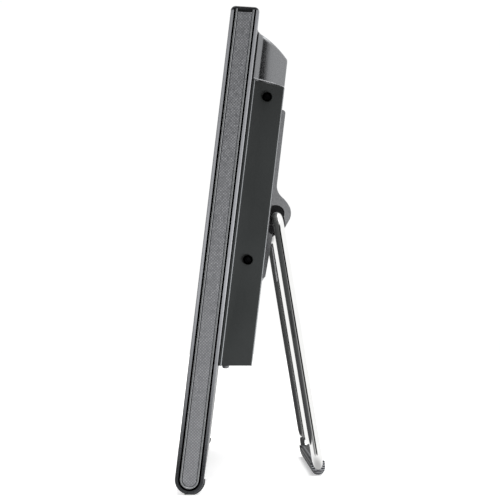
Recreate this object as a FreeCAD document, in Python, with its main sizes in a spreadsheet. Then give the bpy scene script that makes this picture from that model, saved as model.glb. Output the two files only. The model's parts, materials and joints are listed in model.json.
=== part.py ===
"""Digital photo frame: a slim display unit leaning back on a folding wire stand.

The display unit and everything fixed to it is drawn upright: x runs across its width, y from its
front face to its rear and z up from its lower edge. It is then tilted back into the row's frame.
The stand is drawn hanging straight down from its hinge line and then swung open.
All lengths are millimetres and all angles are degrees.
"""
import FreeCAD, Part
import math
import os
import re

import Sketcher

Vector = FreeCAD.Vector
Rotation = FreeCAD.Rotation
Placement = FreeCAD.Placement

SIZES = {
    # display unit
    "frame_width": 400.0,
    "frame_height": 262.0,
    "frame_depth": 15.4,
    "tilt_angle": 6.72,
    "top_corner": 2.7,
    "top_slope": 0.056,
    "edge_round": 0.6,
    "wall": 2.0,
    # side recess with its polished rail and textured strip
    "lip_width": 1.7,
    "groove_width": 0.9,
    "rail_width": 0.9,
    "strip_gap": 0.45,
    "recess_depth": 1.4,
    "recess_top_margin": 1.4,
    "rail_height": 1.3,
    "strip_thickness": 1.0,
    "strip_top_gap": 1.6,
    # display stack behind the front opening
    "front_lip": 1.0,
    "glass_thickness": 1.4,
    "mask_thickness": 0.5,
    "lcd_thickness": 2.0,
    "backlight_thickness": 6.0,
    "opening_half_width": 186.0,
    "opening_low": 16.0,
    "opening_high": 251.0,
    "glass_overlap": 2.2,
    "active_half_width": 172.2,
    "active_low": 37.0,
    "active_high": 231.0,
    "lcd_margin": 3.8,
    "backlight_margin": 5.8,
    "sheet_gap": 0.1,
    "panel_bracket_x": 178.3,
    "panel_bracket_sheet": 1.2,
    "panel_bracket_foot": 4.5,
    "panel_bracket_low": 60.0,
    "panel_bracket_high": 205.0,
    # receiver window and status lens in the lower border
    "receiver_x": 156.0,
    "receiver_half_width": 6.0,
    "receiver_half_height": 1.8,
    "lens_x": 170.0,
    "lens_radius": 1.2,
    "border_z": 11.0,
    # screws that hold the two shells together
    "shell_screw_x": 193.3,
    "shell_screw_low": 20.0,
    "shell_screw_high": 246.0,
    "counterbore_depth": 1.2,
    "counterbore_radius": 3.0,
    "shell_hole_radius": 1.6,
    "pilot_radius": 1.3,
    "top_wall": 3.4,
    "cable_opening_half": 60.0,
    "cable_opening_low": 110.0,
    "cable_opening_high": 200.0,
    "boss_radius": 3.2,
    # rubber feet under the display unit
    "foot_standoff": 0.4,
    "foot_thickness": 0.85,
    "foot_start_angle": 10.6,
    "foot_sweep_angle": 91.4,
    "foot_length": 30.0,
    "foot_inset": 4.0,
    # rear housing and its hood
    "housing_half_width": 150.0,
    "housing_rear": 34.5,
    "housing_low": 68.4,
    "seam_high": 231.3,
    "seam_drop": 0.12,
    "housing_floor": 4.1,
    "housing_gap": 0.5,
    "flange_depth": 0.9,
    "flange_proud": 0.5,
    "hood_side": 150.4,
    "hood_rear": 34.4,
    "hood_top": 260.6,
    "hood_shoulder": 256.8,
    "hood_rear_top": 245.1,
    "hood_crown_radius": 58.0,
    # hinge line and stand
    "hinge_y": 40.3,
    "hinge_z": 161.2,
    "stand_radius": 3.25,
    "stand_half_width": 80.8,
    "leg_length": 154.665,
    "elbow_radius": 9.0,
    "bend_radius": 10.0,
    "pin_inner": 50.0,
    "running_gap": 0.05,
    "boot_radius": 4.25,
    "boot_half_length": 78.5,
    "boot_floor": 4.1,
    "boot_top": 4.5,
    # hinge bracket
    "bracket_half_width": 65.0,
    "bracket_low": 123.4,
    "bracket_lower_step": 149.2,
    "bracket_neck_low": 152.2,
    "bracket_neck_high": 168.5,
    "bracket_shoulder": 181.0,
    "bracket_high": 228.0,
    "lower_plate": 3.3,
    "upper_plate": 3.8,
    "web_plate": 1.9,
    "bracket_hole_radius": 2.1,
    "bracket_bore_radius": 3.8,
    "bracket_seat": 1.5,
    "backing_margin": 8.0,
    "bushing_wall": 1.0,
    "bushing_inset": 0.5,
    "bracket_screw_x": 48.0,
    "bracket_screw_low": 133.0,
    "bracket_screw_high": 214.0,
    # screws in the housing's flat side panels
    "side_screw_y": 25.3,
    "side_screw_low": 129.4,
    "side_screw_high": 222.3,
    "side_hole_radius": 1.6,
    # speaker slots
    "slot_x": 95.0,
    "slot_low": 82.0,
    "slot_height": 18.0,
    "slot_width": 2.0,
    "slot_span": 30.0,
    "slot_count": 7,
    # tray, boards and sockets inside the housing
    "tray_half_width": 147.9,
    "tray_front": 17.4,
    "tray_sheet": 1.0,
    "tray_low": 80.0,
    "tray_high": 225.8,
    "tab_half_height": 7.0,
    "board_left": -142.0,
    "board_right": 20.0,
    "board_front": 21.9,
    "board_thickness": 1.6,
    "board_low": 81.0,
    "board_high": 178.0,
    "socket_gap": 0.7,
    "card_low": 150.0,
    "card_high": 176.0,
    "card_depth": 4.2,
    "card_length": 27.3,
    "usb_low": 100.0,
    "usb_high": 113.5,
    "usb_depth": 7.0,
    "usb_length": 14.3,
    "jack_low": 82.0,
    "jack_high": 91.0,
    "jack_depth": 8.5,
    "jack_length": 13.3,
    "jack_bore": 3.0,
    "jack_pin": 1.0,
    "speaker_low": 80.0,
    "speaker_high": 102.0,
    "speaker_front": 26.5,
    "speaker_cone": 8.0,
    "cell_radius": 10.0,
    "cell_z": 145.0,
    "cell_thickness": 3.2,
    "ribbon_half_width": 20.0,
    "ribbon_sheet": 0.3,
    "ribbon_z": 180.0,
    "ribbon_end": 11.0,
    # buttons
    "key_x": -110.0,
    "key_low": 184.0,
    "key_pitch": 9.0,
    "key_half_width": 3.7,
    "key_half_height": 2.4,
    "key_gap": 0.3,
    "key_proud": 1.0,
    "key_skirt": 1.0,
    "key_board_front": 27.0,
    "key_board_half_width": 8.0,
    "switch_radius": 1.6,
    "key_post_radius": 2.0,
    "power_x": 138.0,
    "power_y": 19.8,
    "power_radius": 1.95,
    "power_proud": 1.8,
    "power_dome": 0.9,
    "power_collar": 1.2,
    # wall keyholes
    "keyhole_x": 132.0,
    "keyhole_z": 200.0,
    "keyhole_radius": 4.5,
    "keyhole_slot": 2.2,
    "keyhole_rise": 9.0,
}

doc = FreeCAD.newDocument("digital_photo_frame")
sheet = doc.addObject("Spreadsheet::Sheet", "sizes")


def fill_sheet(sizes):
    """Write each size in a cell of its own, under its alias."""
    for row, (alias, size) in enumerate(sizes.items(), start=1):
        sheet.set("A%d" % row, alias)
        sheet.set("B%d" % row, str(size))
        sheet.setAlias("B%d" % row, alias)
    doc.recompute()


def derived_sizes(size):
    """Return the sizes that follow from the driving ones: where the tilted unit and the hinge lie."""
    tilt = math.radians(size["tilt_angle"])
    end = size["frame_depth"] / 2
    lift = size["foot_standoff"] + end - end * (math.cos(tilt) - math.sin(tilt))
    hinge_up = lift - size["hinge_y"] * math.sin(tilt) + size["hinge_z"] * math.cos(tilt)
    leg = math.acos((hinge_up - size["boot_floor"]) / size["leg_length"])
    front = end * (math.cos(tilt) + math.sin(tilt)) - end
    hinge_back = size["hinge_y"] * math.cos(tilt) + size["hinge_z"] * math.sin(tilt)
    rear = hinge_back + size["leg_length"] * math.sin(leg) + size["boot_radius"]
    shift = -(front + rear) / 2
    return {
        "unit_shift": shift,
        "unit_lift": lift,
        "hinge_row_y": shift + hinge_back,
        "hinge_row_z": hinge_up,
        "leg_angle": math.degrees(leg),
    }


SIZES.update(derived_sizes(SIZES))
fill_sheet(SIZES)

NODES = {}


def formula(words):
    """Return words such as 'frame_width / 2' as an expression that reads the sheet."""
    def cell(found):
        return "sizes." + found.group() if found.group() in SIZES else found.group()
    return re.sub(r"[a-z][a-z_0-9]+", cell, str(words))


def size_of(words):
    """Return the number that the words stand for."""
    result = sheet.evalExpression(formula(words))
    return float(getattr(result, "Value", result))


# ---- solids from primitives ------------------------------------------------------------------

AXIS_TURN = {
    "x": Rotation(Vector(0, 1, 0), 90),
    "y": Rotation(Vector(1, 0, 0), -90),
    "z": Rotation(),
    "up": Rotation(Vector(1, 0, 0), SIZES["tilt_angle"]),
}


def block(name, x_range, y_range, z_range):
    """Make a box from the low and high words of each direction."""
    box = doc.addObject("Part::Box", name)
    sides = (("Length", "x", x_range), ("Width", "y", y_range), ("Height", "z", z_range))
    for side, direction, (low, high) in sides:
        box.setExpression(side, formula("(%s) - (%s)" % (high, low)))
        box.setExpression("Placement.Base." + direction, formula(low))
    return box


def rod(name, axis, start, radius, length):
    """Make a cylinder that runs from the start point along an axis; 'up' is the row's vertical."""
    cylinder = doc.addObject("Part::Cylinder", name)
    cylinder.setExpression("Radius", formula(radius))
    cylinder.setExpression("Height", formula(length))
    cylinder.Placement = Placement(Vector(), AXIS_TURN[axis])
    for direction, words in zip("xyz", start):
        cylinder.setExpression("Placement.Base." + direction, formula(words))
    return cylinder


def cone(name, axis, start, radius, end_radius, length):
    """Make a cone frustum from the start point along an axis."""
    frustum = doc.addObject("Part::Cone", name)
    frustum.setExpression("Radius1", formula(radius))
    frustum.setExpression("Radius2", formula(end_radius))
    frustum.setExpression("Height", formula(length))
    frustum.Placement = Placement(Vector(), AXIS_TURN[axis])
    for direction, words in zip("xyz", start):
        frustum.setExpression("Placement.Base." + direction, formula(words))
    return frustum


def cut(name, base, *tools):
    """Cut each tool in turn from the base."""
    for tool in tools:
        step = doc.addObject("Part::Cut", name)
        step.Base = base
        step.Tool = tool
        base = step
    return base


def join(name, *solids):
    """Fuse solids that touch or overlap into one."""
    whole = doc.addObject("Part::MultiFuse", name)
    whole.Shapes = list(solids)
    return whole


def overlap(name, base, tool):
    """Keep only what two solids share."""
    shared = doc.addObject("Part::Common", name)
    shared.Base = base
    shared.Tool = tool
    return shared


def both_sides(low, high):
    """Return the ranges of a feature on the right and of its mirror image on the left."""
    return ((low, high), ("-(%s)" % high, "-(%s)" % low))


# ---- solids from sketches --------------------------------------------------------------------

def sketch_on(body, role, offset="0"):
    """Attach a new sketch to one of the body's own planes, at an offset along its normal."""
    sketch = body.newObject("Sketcher::SketchObject", body.Name + "_sketch")
    plane = next(item for item in body.Origin.OriginFeatures if item.Role == role)
    sketch.AttachmentSupport = [(plane, "")]
    sketch.MapMode = "FlatFace"
    sketch.setExpression("AttachmentOffset.Base.z", formula(offset))
    return sketch


def arc_between(start, end, radius):
    """Return the arc from start to end; a positive radius turns left, a negative one right."""
    chord = end - start
    rise = math.sqrt(max(radius ** 2 - (chord.Length / 2) ** 2, 0.0))
    side = Vector(-chord.y, chord.x, 0).normalize() * math.copysign(rise, radius)
    centre = (start + end) * 0.5 + side
    first, last = (start, end) if radius > 0 else (end, start)
    angles = [math.atan2(point.y - centre.y, point.x - centre.x) for point in (first, last)]
    return Part.ArcOfCircle(Part.Circle(centre, Vector(0, 0, 1), abs(radius)), *angles)


def draw(sketch, corners, closed=True):
    """Draw lines and arcs through corners given as (x, y) or (x, y, radius of the next stretch)."""
    points = [Vector(size_of(corner[0]), size_of(corner[1]), 0) for corner in corners]
    count = len(corners) if closed else len(corners) - 1
    ends = []
    for index in range(count):
        start, end = points[index], points[(index + 1) % len(points)]
        radius = size_of(corners[index][2]) if len(corners[index]) > 2 else 0.0
        if radius:
            curve = sketch.addGeometry(arc_between(start, end, radius))
            number = sketch.addConstraint(Sketcher.Constraint("Radius", curve, abs(radius)))
            sketch.setExpression("Constraints[%d]" % number, formula("abs(%s)" % corners[index][2]))
        else:
            curve = sketch.addGeometry(Part.LineSegment(start, end))
        ends.append((curve, 1, 2) if radius >= 0 else (curve, 2, 1))
    for index, (curve, first, last) in enumerate(ends):
        if closed or index + 1 < count:
            following = ends[(index + 1) % count]
            sketch.addConstraint(Sketcher.Constraint("Coincident", curve, last, *following[:2]))
        pin_vertex(sketch, curve, first, corners[index])
    if not closed:
        pin_vertex(sketch, ends[-1][0], ends[-1][2], corners[-1])
    return sketch


def pin_vertex(sketch, curve, end, corner):
    """Hold a curve's end at the place that its corner's words give."""
    for kind, words in (("DistanceX", corner[0]), ("DistanceY", corner[1])):
        held = Sketcher.Constraint(kind, -1, 1, curve, end, size_of(words))
        number = sketch.addConstraint(held)
        sketch.setExpression("Constraints[%d]" % number, formula(words))


def circle(sketch, x_words, y_words, radius):
    """Draw a circle whose centre and radius follow the sheet."""
    centre = Vector(size_of(x_words), size_of(y_words), 0)
    curve = sketch.addGeometry(Part.Circle(centre, Vector(0, 0, 1), size_of(radius)))
    number = sketch.addConstraint(Sketcher.Constraint("Radius", curve, size_of(radius)))
    sketch.setExpression("Constraints[%d]" % number, formula(radius))
    pin_vertex(sketch, curve, 3, (x_words, y_words))
    return sketch


def pad(body, sketch, length, side_type="Symmetric"):
    """Pad a sketch by a length."""
    feature = body.newObject("PartDesign::Pad", body.Name + "_pad")
    feature.Profile = sketch
    feature.SideType = side_type
    feature.setExpression("Length", formula(length))
    return feature


def pocket(body, sketch, length, reverse=False):
    """Cut a sketch's outline out of the body, and make sure that it removes material."""
    doc.recompute()
    before = body.Shape.Volume
    feature = body.newObject("PartDesign::Pocket", body.Name + "_pocket")
    feature.Profile = sketch
    feature.Reversed = reverse
    feature.setExpression("Length", formula(length))
    doc.recompute()
    if body.Shape.Volume > before - 0.01:
        raise RuntimeError("%s: the pocket cuts nothing" % body.Name)
    return feature


def repeat(body, kind, features, **settings):
    """Pattern or mirror features of a body."""
    feature = body.newObject("PartDesign::" + kind, body.Name + "_" + kind.lower())
    feature.Originals = list(features)
    for name, value in settings.items():
        setattr(feature, name, value)
    body.Tip = feature
    return feature


def plane_of(body, role):
    """Return one of a body's own planes or axes."""
    return next(item for item in body.Origin.OriginFeatures if item.Role == role)


def round_edges(body, radius, chosen):
    """Fillet the edges of the body's tip that the test picks."""
    doc.recompute()
    base = body.Tip
    picked = ["Edge%d" % (number + 1) for number, edge in enumerate(base.Shape.Edges) if chosen(edge)]
    if not picked:
        raise RuntimeError("%s: no edge to round" % body.Name)
    feature = body.newObject("PartDesign::Fillet", body.Name + "_fillet")
    feature.Base = (base, picked)
    feature.setExpression("Radius", formula(radius))
    return feature


def prism(name, corners, half_width):
    """Make a body whose side outline (y, z) runs the same distance to the left and right."""
    body = doc.addObject("PartDesign::Body", name)
    pad(body, draw(sketch_on(body, "YZ_Plane"), corners), "2 * (%s)" % half_width)
    return body


def tube(name, path, plane, offset, centre, radius, bore=None):
    """Sweep a circle along a path in the body's XZ plane; a bore makes it a sleeve."""
    body = doc.addObject("PartDesign::Body", name)
    spine = draw(sketch_on(body, "XZ_Plane"), path, closed=False)
    rounds = [("AdditivePipe", radius)] + ([("SubtractivePipe", bore)] if bore else [])
    for kind, section_radius in rounds:
        section = circle(sketch_on(body, plane, offset), *centre, section_radius)
        pipe = body.newObject("PartDesign::" + kind, name + "_" + kind.lower())
        pipe.Profile = section
        pipe.Spine = spine
        doc.recompute()
    return body


# ---- places ----------------------------------------------------------------------------------

def keep(name, item, stand=False):
    """Name a finished sub-part and put it in the row's frame, on the tilted unit or the stand."""
    if item.TypeId in ("Part::Box", "Part::Cylinder"):
        primitive = item
        primitive.Label = name + "_form"
        item = doc.addObject("Part::Compound", name)
        item.Links = [primitive]
    item.Label = name
    if stand:
        item.Placement = Placement(Vector(), Rotation(Vector(1, 0, 0), SIZES["leg_angle"]))
        base = (("y", "hinge_row_y"), ("z", "hinge_row_z"))
    else:
        item.Placement = Placement(Vector(), Rotation(Vector(1, 0, 0), -SIZES["tilt_angle"]))
        base = (("y", "unit_shift"), ("z", "unit_lift"))
    for direction, words in base:
        item.setExpression("Placement.Base." + direction, formula(words))
    NODES[name] = item
    return item


def keep_group(name, master, places):
    """Keep copies of one finished fastener as a group of separate solids."""
    doc.recompute()
    shapes = []
    for place in places:
        shape = master.Shape.copy()
        shape.Placement = place.multiply(shape.Placement)
        shapes.append(shape)
    group = doc.addObject("Part::Feature", name)
    group.Shape = Part.makeCompound(shapes)
    return keep(name, group)


# ---- display unit ----------------------------------------------------------------------------

def end_outline(half_thickness, drop):
    """Outline with a round lower end about the unit's lower axis and a top below the unit's own."""
    middle = "frame_depth / 2"
    front, rear = "%s - (%s)" % (middle, half_thickness), "%s + (%s)" % (middle, half_thickness)
    return [
        (front, top_at(front, drop)),
        (front, middle, half_thickness),
        (middle, "%s - (%s)" % (middle, half_thickness), half_thickness),
        (rear, middle),
        (rear, top_at(rear, drop)),
    ]


def top_at(y_words, drop="0"):
    """Height, less a drop, of the unit's top, which rises a little towards the rear."""
    return "frame_height + top_slope * (%s) - (%s)" % (y_words, drop)


def unit_blank():
    """The display unit's outer form with the long recess in each side."""
    half = "frame_depth / 2"
    body = prism("unit_blank", [
        (half, "0", "-(frame_depth / 2)"),
        ("0", half),
        ("0", top_at("0", "top_corner"), "-top_corner"),
        ("top_corner", top_at("top_corner")),
        ("frame_depth - top_corner", top_at("frame_depth - top_corner"), "-top_corner"),
        ("frame_depth", top_at("frame_depth", "top_corner")),
        ("frame_depth", half, "-(frame_depth / 2)"),
    ], "frame_width / 2")
    side = SIZES["frame_width"] / 2
    round_edges(body, "edge_round", lambda edge: all(abs(abs(v.X) - side) < 0.01 for v in edge.Vertexes))
    sketch = sketch_on(body, "YZ_Plane", "frame_width / 2")
    draw(sketch, end_outline("frame_depth / 2 - lip_width", "recess_top_margin"))
    recess = pocket(body, sketch, "recess_depth")
    repeat(body, "Mirrored", [recess], MirrorPlane=(plane_of(body, "YZ_Plane"), [""]))
    return body


def shell_screw_places():
    """Where the six screws through the rear shell stand."""
    heights = (SIZES["shell_screw_low"], SIZES["frame_height"] / 2, SIZES["shell_screw_high"])
    return [(side * SIZES["shell_screw_x"], height) for side in (-1, 1) for height in heights]


def front_bezel(blank, inside):
    """The front half of the unit: a frame round the opening, with screw bosses behind it."""
    half = block(
        "front_half", ("-frame_width", "frame_width"), ("-1", "frame_depth / 2"), ("-1", "frame_height + 1"))
    seat_back = "front_lip + glass_thickness"
    through = ("-1", seat_back + " + 1")
    opening = block(
        "opening", ("-opening_half_width", "opening_half_width"), through, ("opening_low", "opening_high"))
    rebate_x = "opening_half_width + glass_overlap"
    rebate = block(
        "rebate", ("-(%s)" % rebate_x, rebate_x), ("front_lip", seat_back + " + 1"),
        ("opening_low - glass_overlap", "opening_high + glass_overlap"))
    window = block(
        "window_seat", ("receiver_x - receiver_half_width", "receiver_x + receiver_half_width"), through,
        ("border_z - receiver_half_height", "border_z + receiver_half_height"))
    lens = rod("lens_seat", "y", ("lens_x", "-1", "border_z"), "lens_radius", "5")
    shell = cut("bezel_shell", overlap("bezel_half", blank, half), inside, opening, rebate, window, lens)
    bosses = []
    holes = []
    for x, z in shell_screw_places():
        height = "frame_depth - wall - (%s)" % seat_back
        bosses.append(rod("boss", "y", (x, seat_back, z), "boss_radius", height))
        holes.append(rod("boss_hole", "y", (x, seat_back + " + 1", z), "pilot_radius", "frame_depth"))
    return keep("front_bezel", cut("front_bezel", join("bezel_with_bosses", shell, *bosses), *holes))


def rear_shell(blank, inside):
    """The rear half of the unit, counterbored for its screws and open behind the display."""
    half = block(
        "rear_half", ("-frame_width", "frame_width"), ("frame_depth / 2", "frame_depth + 1"),
        ("-1", "frame_height + 1"))
    cable_opening = block(
        "cable_opening", ("-cable_opening_half", "cable_opening_half"),
        ("frame_depth - wall - 1", "frame_depth + 1"), ("cable_opening_low", "cable_opening_high"))
    holes = []
    for x, z in shell_screw_places():
        start = (x, "frame_depth - wall - 1", z)
        holes.append(rod("shell_hole", "y", start, "shell_hole_radius", "wall + 2"))
        seat = (x, "frame_depth - counterbore_depth", z)
        holes.append(rod("counterbore", "y", seat, "counterbore_radius", "counterbore_depth + 1"))
    shell = cut("rear_shell", overlap("rear_half_blank", blank, half), inside, cable_opening, *holes)
    return keep("rear_shell", shell)


def side_trim(name, side):
    """The polished rail that follows the recess down one side, round the lower end and up again."""
    outer = "frame_depth / 2 - lip_width - groove_width"
    inner = outer + " - rail_width"
    middle = "frame_depth / 2"
    around = end_outline(outer, "recess_top_margin")
    inside = [corner[:2] for corner in reversed(end_outline(inner, "recess_top_margin"))]
    for bend in (1, 2):
        inside[bend] += ("-(%s)" % inner,)
    body = doc.addObject("PartDesign::Body", name)
    sketch = sketch_on(body, "YZ_Plane", "%d * (frame_width / 2 - recess_depth)" % side)
    draw(sketch, around + inside)
    rail = pad(body, sketch, "rail_height", "One side")
    rail.Reversed = side < 0
    return keep(name, body)


def side_inlay(name, side):
    """The textured strip inside the rail."""
    half_thickness = "frame_depth / 2 - lip_width - groove_width - rail_width - strip_gap"
    body = doc.addObject("PartDesign::Body", name)
    sketch = sketch_on(body, "YZ_Plane", "%d * (frame_width / 2 - recess_depth)" % side)
    draw(sketch, end_outline(half_thickness, "recess_top_margin + strip_top_gap"))
    strip = pad(body, sketch, "strip_thickness", "One side")
    strip.Reversed = side < 0
    return keep(name, body)


def display_stack():
    """Cover glass, printed mask, liquid crystal panel and backlight, front to rear."""
    half_width = "opening_half_width + glass_overlap - sheet_gap"
    low, high = "opening_low - glass_overlap + sheet_gap", "opening_high + glass_overlap - sheet_gap"
    across = ("-(%s)" % half_width, half_width)
    glass_back = "front_lip + glass_thickness"
    keep("cover_glass", block("cover_glass", across, ("front_lip", glass_back), (low, high)))
    mask_back = glass_back + " + mask_thickness"
    sheet_of_mask = block("mask_sheet", across, (glass_back, mask_back), (low, high))
    view_x = ("-active_half_width", "active_half_width")
    view = block("mask_view", view_x, ("0", "frame_depth"), ("active_low", "active_high"))
    keep("display_mask", cut("display_mask", sheet_of_mask, view))
    front = mask_back
    for name, label in (("lcd_panel", "lcd"), ("backlight_unit", "backlight")):
        rear = "%s + %s_thickness" % (front, label)
        margin = label + "_margin"
        keep(name, block(
            name, ("-active_half_width - " + margin, "active_half_width + " + margin), (front, rear),
            ("active_low - " + margin, "active_high + " + margin)))
        front = rear
    web = "panel_bracket_x + panel_bracket_sheet"
    for side, (plate_x, foot_x) in zip(("right", "left"), zip(
            both_sides("panel_bracket_x", web), both_sides(web, web + " + panel_bracket_foot"))):
        upright = ("panel_bracket_low", "panel_bracket_high")
        seat = "frame_depth - wall"
        plate = block("bracket_plate", plate_x, ("4", seat), upright)
        flange = block("bracket_flange", foot_x, (seat + " - panel_bracket_sheet", seat), upright)
        keep("panel_bracket_" + side, join("panel_bracket_" + side, plate, flange))


def front_details():
    """The dark window of the remote receiver and the status lens in the lower border."""
    front, rear = "-sheet_gap", "front_lip + glass_thickness"
    wide, tall = "(receiver_half_width - sheet_gap)", "(receiver_half_height - sheet_gap)"
    keep("remote_window", block(
        "remote_window", ("receiver_x - " + wide, "receiver_x + " + wide), (front, rear),
        ("border_z - " + tall, "border_z + " + tall)))
    keep("status_lens", rod(
        "status_lens", "y", ("lens_x", front, "border_z"), "lens_radius - 0.05", rear + " + sheet_gap"))


def frame_foot(name, low, high):
    """Rubber pad wrapped round the rear half of the lower edge, cut flat where it meets the floor."""
    centre = "frame_depth / 2"
    turn = Rotation(Vector(0, 1, 0), Vector(0, 0, -1), Vector(-1, 0, 0), "XYZ")
    start = Rotation(Vector(1, 0, 0), -SIZES["foot_start_angle"])
    rounds = []
    for label, radius, sweep in (
            ("foot_outer", "frame_depth / 2 + foot_thickness", SIZES["foot_sweep_angle"]),
            ("foot_inner", "frame_depth / 2", 360)):
        sector = doc.addObject("Part::Cylinder", label)
        sector.setExpression("Radius", formula(radius))
        sector.setExpression("Height", formula("(%s) - (%s)" % (high, low)))
        sector.Angle = sweep
        sector.Placement = Placement(Vector(), start.multiply(turn))
        for direction, words in zip("xyz", (high, centre, centre)):
            sector.setExpression("Placement.Base." + direction, formula(words))
        rounds.append(sector)
    floor = doc.addObject("Part::Box", "floor_cut")
    floor.setExpression("Length", formula("(%s) - (%s) + 2" % (high, low)))
    floor.Width = 40
    floor.Height = 5
    down = Rotation(Vector(1, 0, 0), SIZES["tilt_angle"])
    reach = SIZES["frame_depth"] / 2 + SIZES["foot_standoff"]
    axis = Vector(0, SIZES["frame_depth"] / 2, SIZES["frame_depth"] / 2)
    corner = axis + down.multVec(Vector(size_of(low) - 1, -20, -reach - 5))
    floor.Placement = Placement(corner, down)
    return keep(name, cut(name, rounds[0], rounds[1], floor))


# ---- rear housing ----------------------------------------------------------------------------

def housing_low_at(y_words):
    """Height of the housing's lower face, level in use, at a depth."""
    return "housing_low + (%s - frame_depth) * tan(tilt_angle * 1deg)" % y_words


def housing_high_at(y_words):
    """Height of the seam under the hood at a depth."""
    return "seam_high - (%s - frame_depth) * seam_drop" % y_words


def housing_slice(name, front, rear, half_width):
    """A slice of the housing between two depths."""
    return prism(name, [
        (front, housing_low_at(front)),
        (rear, housing_low_at(rear)),
        (rear, housing_high_at(rear)),
        (front, housing_high_at(front)),
    ], half_width)


def speaker_slots(body):
    """Two rows of upright slots through the rear wall, one for each speaker."""
    start = "slot_x - slot_span / 2"
    for sign in (1, -1):
        near, far = "%d * (%s)" % (sign, start), "%d * (%s + slot_width)" % (sign, start)
        top = "slot_low + slot_height"
        sketch = sketch_on(body, "XZ_Plane", "-housing_rear")
        draw(sketch, [(near, "slot_low"), (far, "slot_low"), (far, top), (near, top)])
        slot = pocket(body, sketch, "wall + 1", reverse=True)
        row = repeat(
            body, "LinearPattern", [slot], Direction=(plane_of(body, "X_Axis"), [""]),
            Reversed=sign < 0, Occurrences=int(SIZES["slot_count"]))
        row.setExpression("Length", formula("slot_span"))
        doc.recompute()
    doc.recompute()


def key_heights():
    """Heights of the control keys, lowest first."""
    return [SIZES["key_low"] + number * SIZES["key_pitch"] for number in range(5)]


def housing_tools():
    """Everything that is cut through the housing's walls."""
    wall_start = "housing_rear - 4"
    through = (wall_start, "housing_rear + 2")
    tools = []
    for side in (-1, 1):
        for height in ("side_screw_low", "side_screw_high"):
            start = ("%s * housing_half_width - 4" % side, "side_screw_y", height)
            tools.append(rod("side_hole", "x", start, "side_hole_radius", "8"))
        keyhole_x = "%s * keyhole_x" % side
        tools.append(rod("keyhole", "y", (keyhole_x, wall_start, "keyhole_z"), "keyhole_radius", "6"))
        slot_x = (keyhole_x + " - keyhole_slot", keyhole_x + " + keyhole_slot")
        tools.append(block("keyhole_slot", slot_x, through, ("keyhole_z", "keyhole_z + keyhole_rise")))
        crown = (keyhole_x, wall_start, "keyhole_z + keyhole_rise")
        tools.append(rod("keyhole_crown", "y", crown, "keyhole_slot", "6"))
        for height in ("bracket_screw_low", "bracket_screw_high"):
            start = ("%s * bracket_screw_x" % side, wall_start, height)
            tools.append(rod("bracket_hole", "y", start, "bracket_hole_radius", "6"))
    for height in key_heights():
        wide, tall = "key_half_width + key_gap", "key_half_height + key_gap"
        tools.append(block(
            "key_hole", ("key_x - (%s)" % wide, "key_x + %s" % wide), through,
            ("%s - (%s)" % (height, tall), "%s + %s" % (height, tall))))
    power = ("power_x", "power_y", housing_low_at("power_y") + " - 2")
    tools.append(rod("power_hole", "up", power, "power_radius + key_gap", "8"))
    left_wall = ("-housing_half_width - 2", "-housing_half_width + wall + 1")
    seat = "(board_front + board_thickness)"
    for socket in ("card", "usb", "jack"):
        tools.append(block(
            socket + "_cut", left_wall, (seat + " - sheet_gap", "%s + %s_depth + sheet_gap" % (seat, socket)),
            (socket + "_low - sheet_gap", socket + "_high + sheet_gap")))
    return tools


def rear_housing():
    """The dark box on the back, with a thin flange where it meets the rear shell."""
    main = housing_slice("housing_main", "frame_depth + housing_gap", "housing_rear", "housing_half_width")
    rear, side = SIZES["housing_rear"], SIZES["housing_half_width"]

    def rear_corner(edge):
        """True for the upright edges at the rear corners and the lower rear edge."""
        at_rear = all(abs(v.Y - rear) < 0.01 for v in edge.Vertexes)
        upright = all(abs(abs(v.X) - side) < 0.01 for v in edge.Vertexes)
        low = all(v.Z < SIZES["housing_low"] + 5 for v in edge.Vertexes)
        return at_rear and (upright or low)

    round_edges(main, "0.9", rear_corner)
    speaker_slots(main)
    plinth = housing_slice(
        "housing_plinth", "frame_depth", "frame_depth + housing_gap", "housing_half_width - 0.6")
    flange_rear = "frame_depth + housing_gap + flange_depth"
    flange = housing_slice(
        "housing_flange", "frame_depth + housing_gap", flange_rear, "housing_half_width + flange_proud")
    inner = "housing_half_width - wall"
    cavity = block(
        "housing_cavity", ("-(%s)" % inner, inner), ("frame_depth - 1", "housing_rear - wall"),
        ("housing_low + housing_floor", "seam_high - 5"))
    shell = cut("rear_housing", join("housing_solid", main, plinth, flange), cavity, *housing_tools())
    return keep("rear_housing", shell)


def hood_side_profile(inset):
    """The hood's outline from the side; an inset moves its outer walls inwards."""
    return [
        ("frame_depth", housing_high_at("frame_depth")),
        ("hood_rear - %s" % inset, housing_high_at("hood_rear")),
        ("hood_rear - %s" % inset, "hood_rear_top - 0.7 * %s" % inset, "1.6"),
        ("hood_rear - 0.7 - %s" % inset, "hood_rear_top + 1.2 - 0.7 * %s" % inset, "hood_crown_radius"),
        ("frame_depth + 4.1 - 0.6 * %s" % inset, "hood_shoulder - 0.8 * %s" % inset),
        ("frame_depth + 1.8 - 0.4 * %s" % inset, "hood_shoulder + 1.1 - 0.9 * %s" % inset, "-4"),
        ("frame_depth", "hood_top - %s" % inset),
    ]


def hood_plan(name):
    """The hood's outline from above: a flared skirt, then a gentle curve in towards the rear."""
    body = doc.addObject("PartDesign::Body", name)
    sketch = sketch_on(body, "XY_Plane", "seam_high - 6")
    right = [
        ("hood_side + 0.6", "frame_depth"),
        ("hood_side + 0.6", "frame_depth + 0.8"),
        ("hood_side + 2", "frame_depth + 1", "-5"),
        ("hood_side", "frame_depth + 3.8", "32"),
        ("hood_side - 4", "hood_rear - 1.4", "1.8"),
        ("hood_side - 5.6", "hood_rear"),
    ]
    left = []
    for number in range(len(right) - 1, -1, -1):
        x_words, y_words = right[number][:2]
        radius = right[number - 1][2:] if number else ()
        left.append(("-(%s)" % x_words, y_words) + radius)
    draw(sketch, right + left)
    pad(body, sketch, "40", "One side")
    return body


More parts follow.
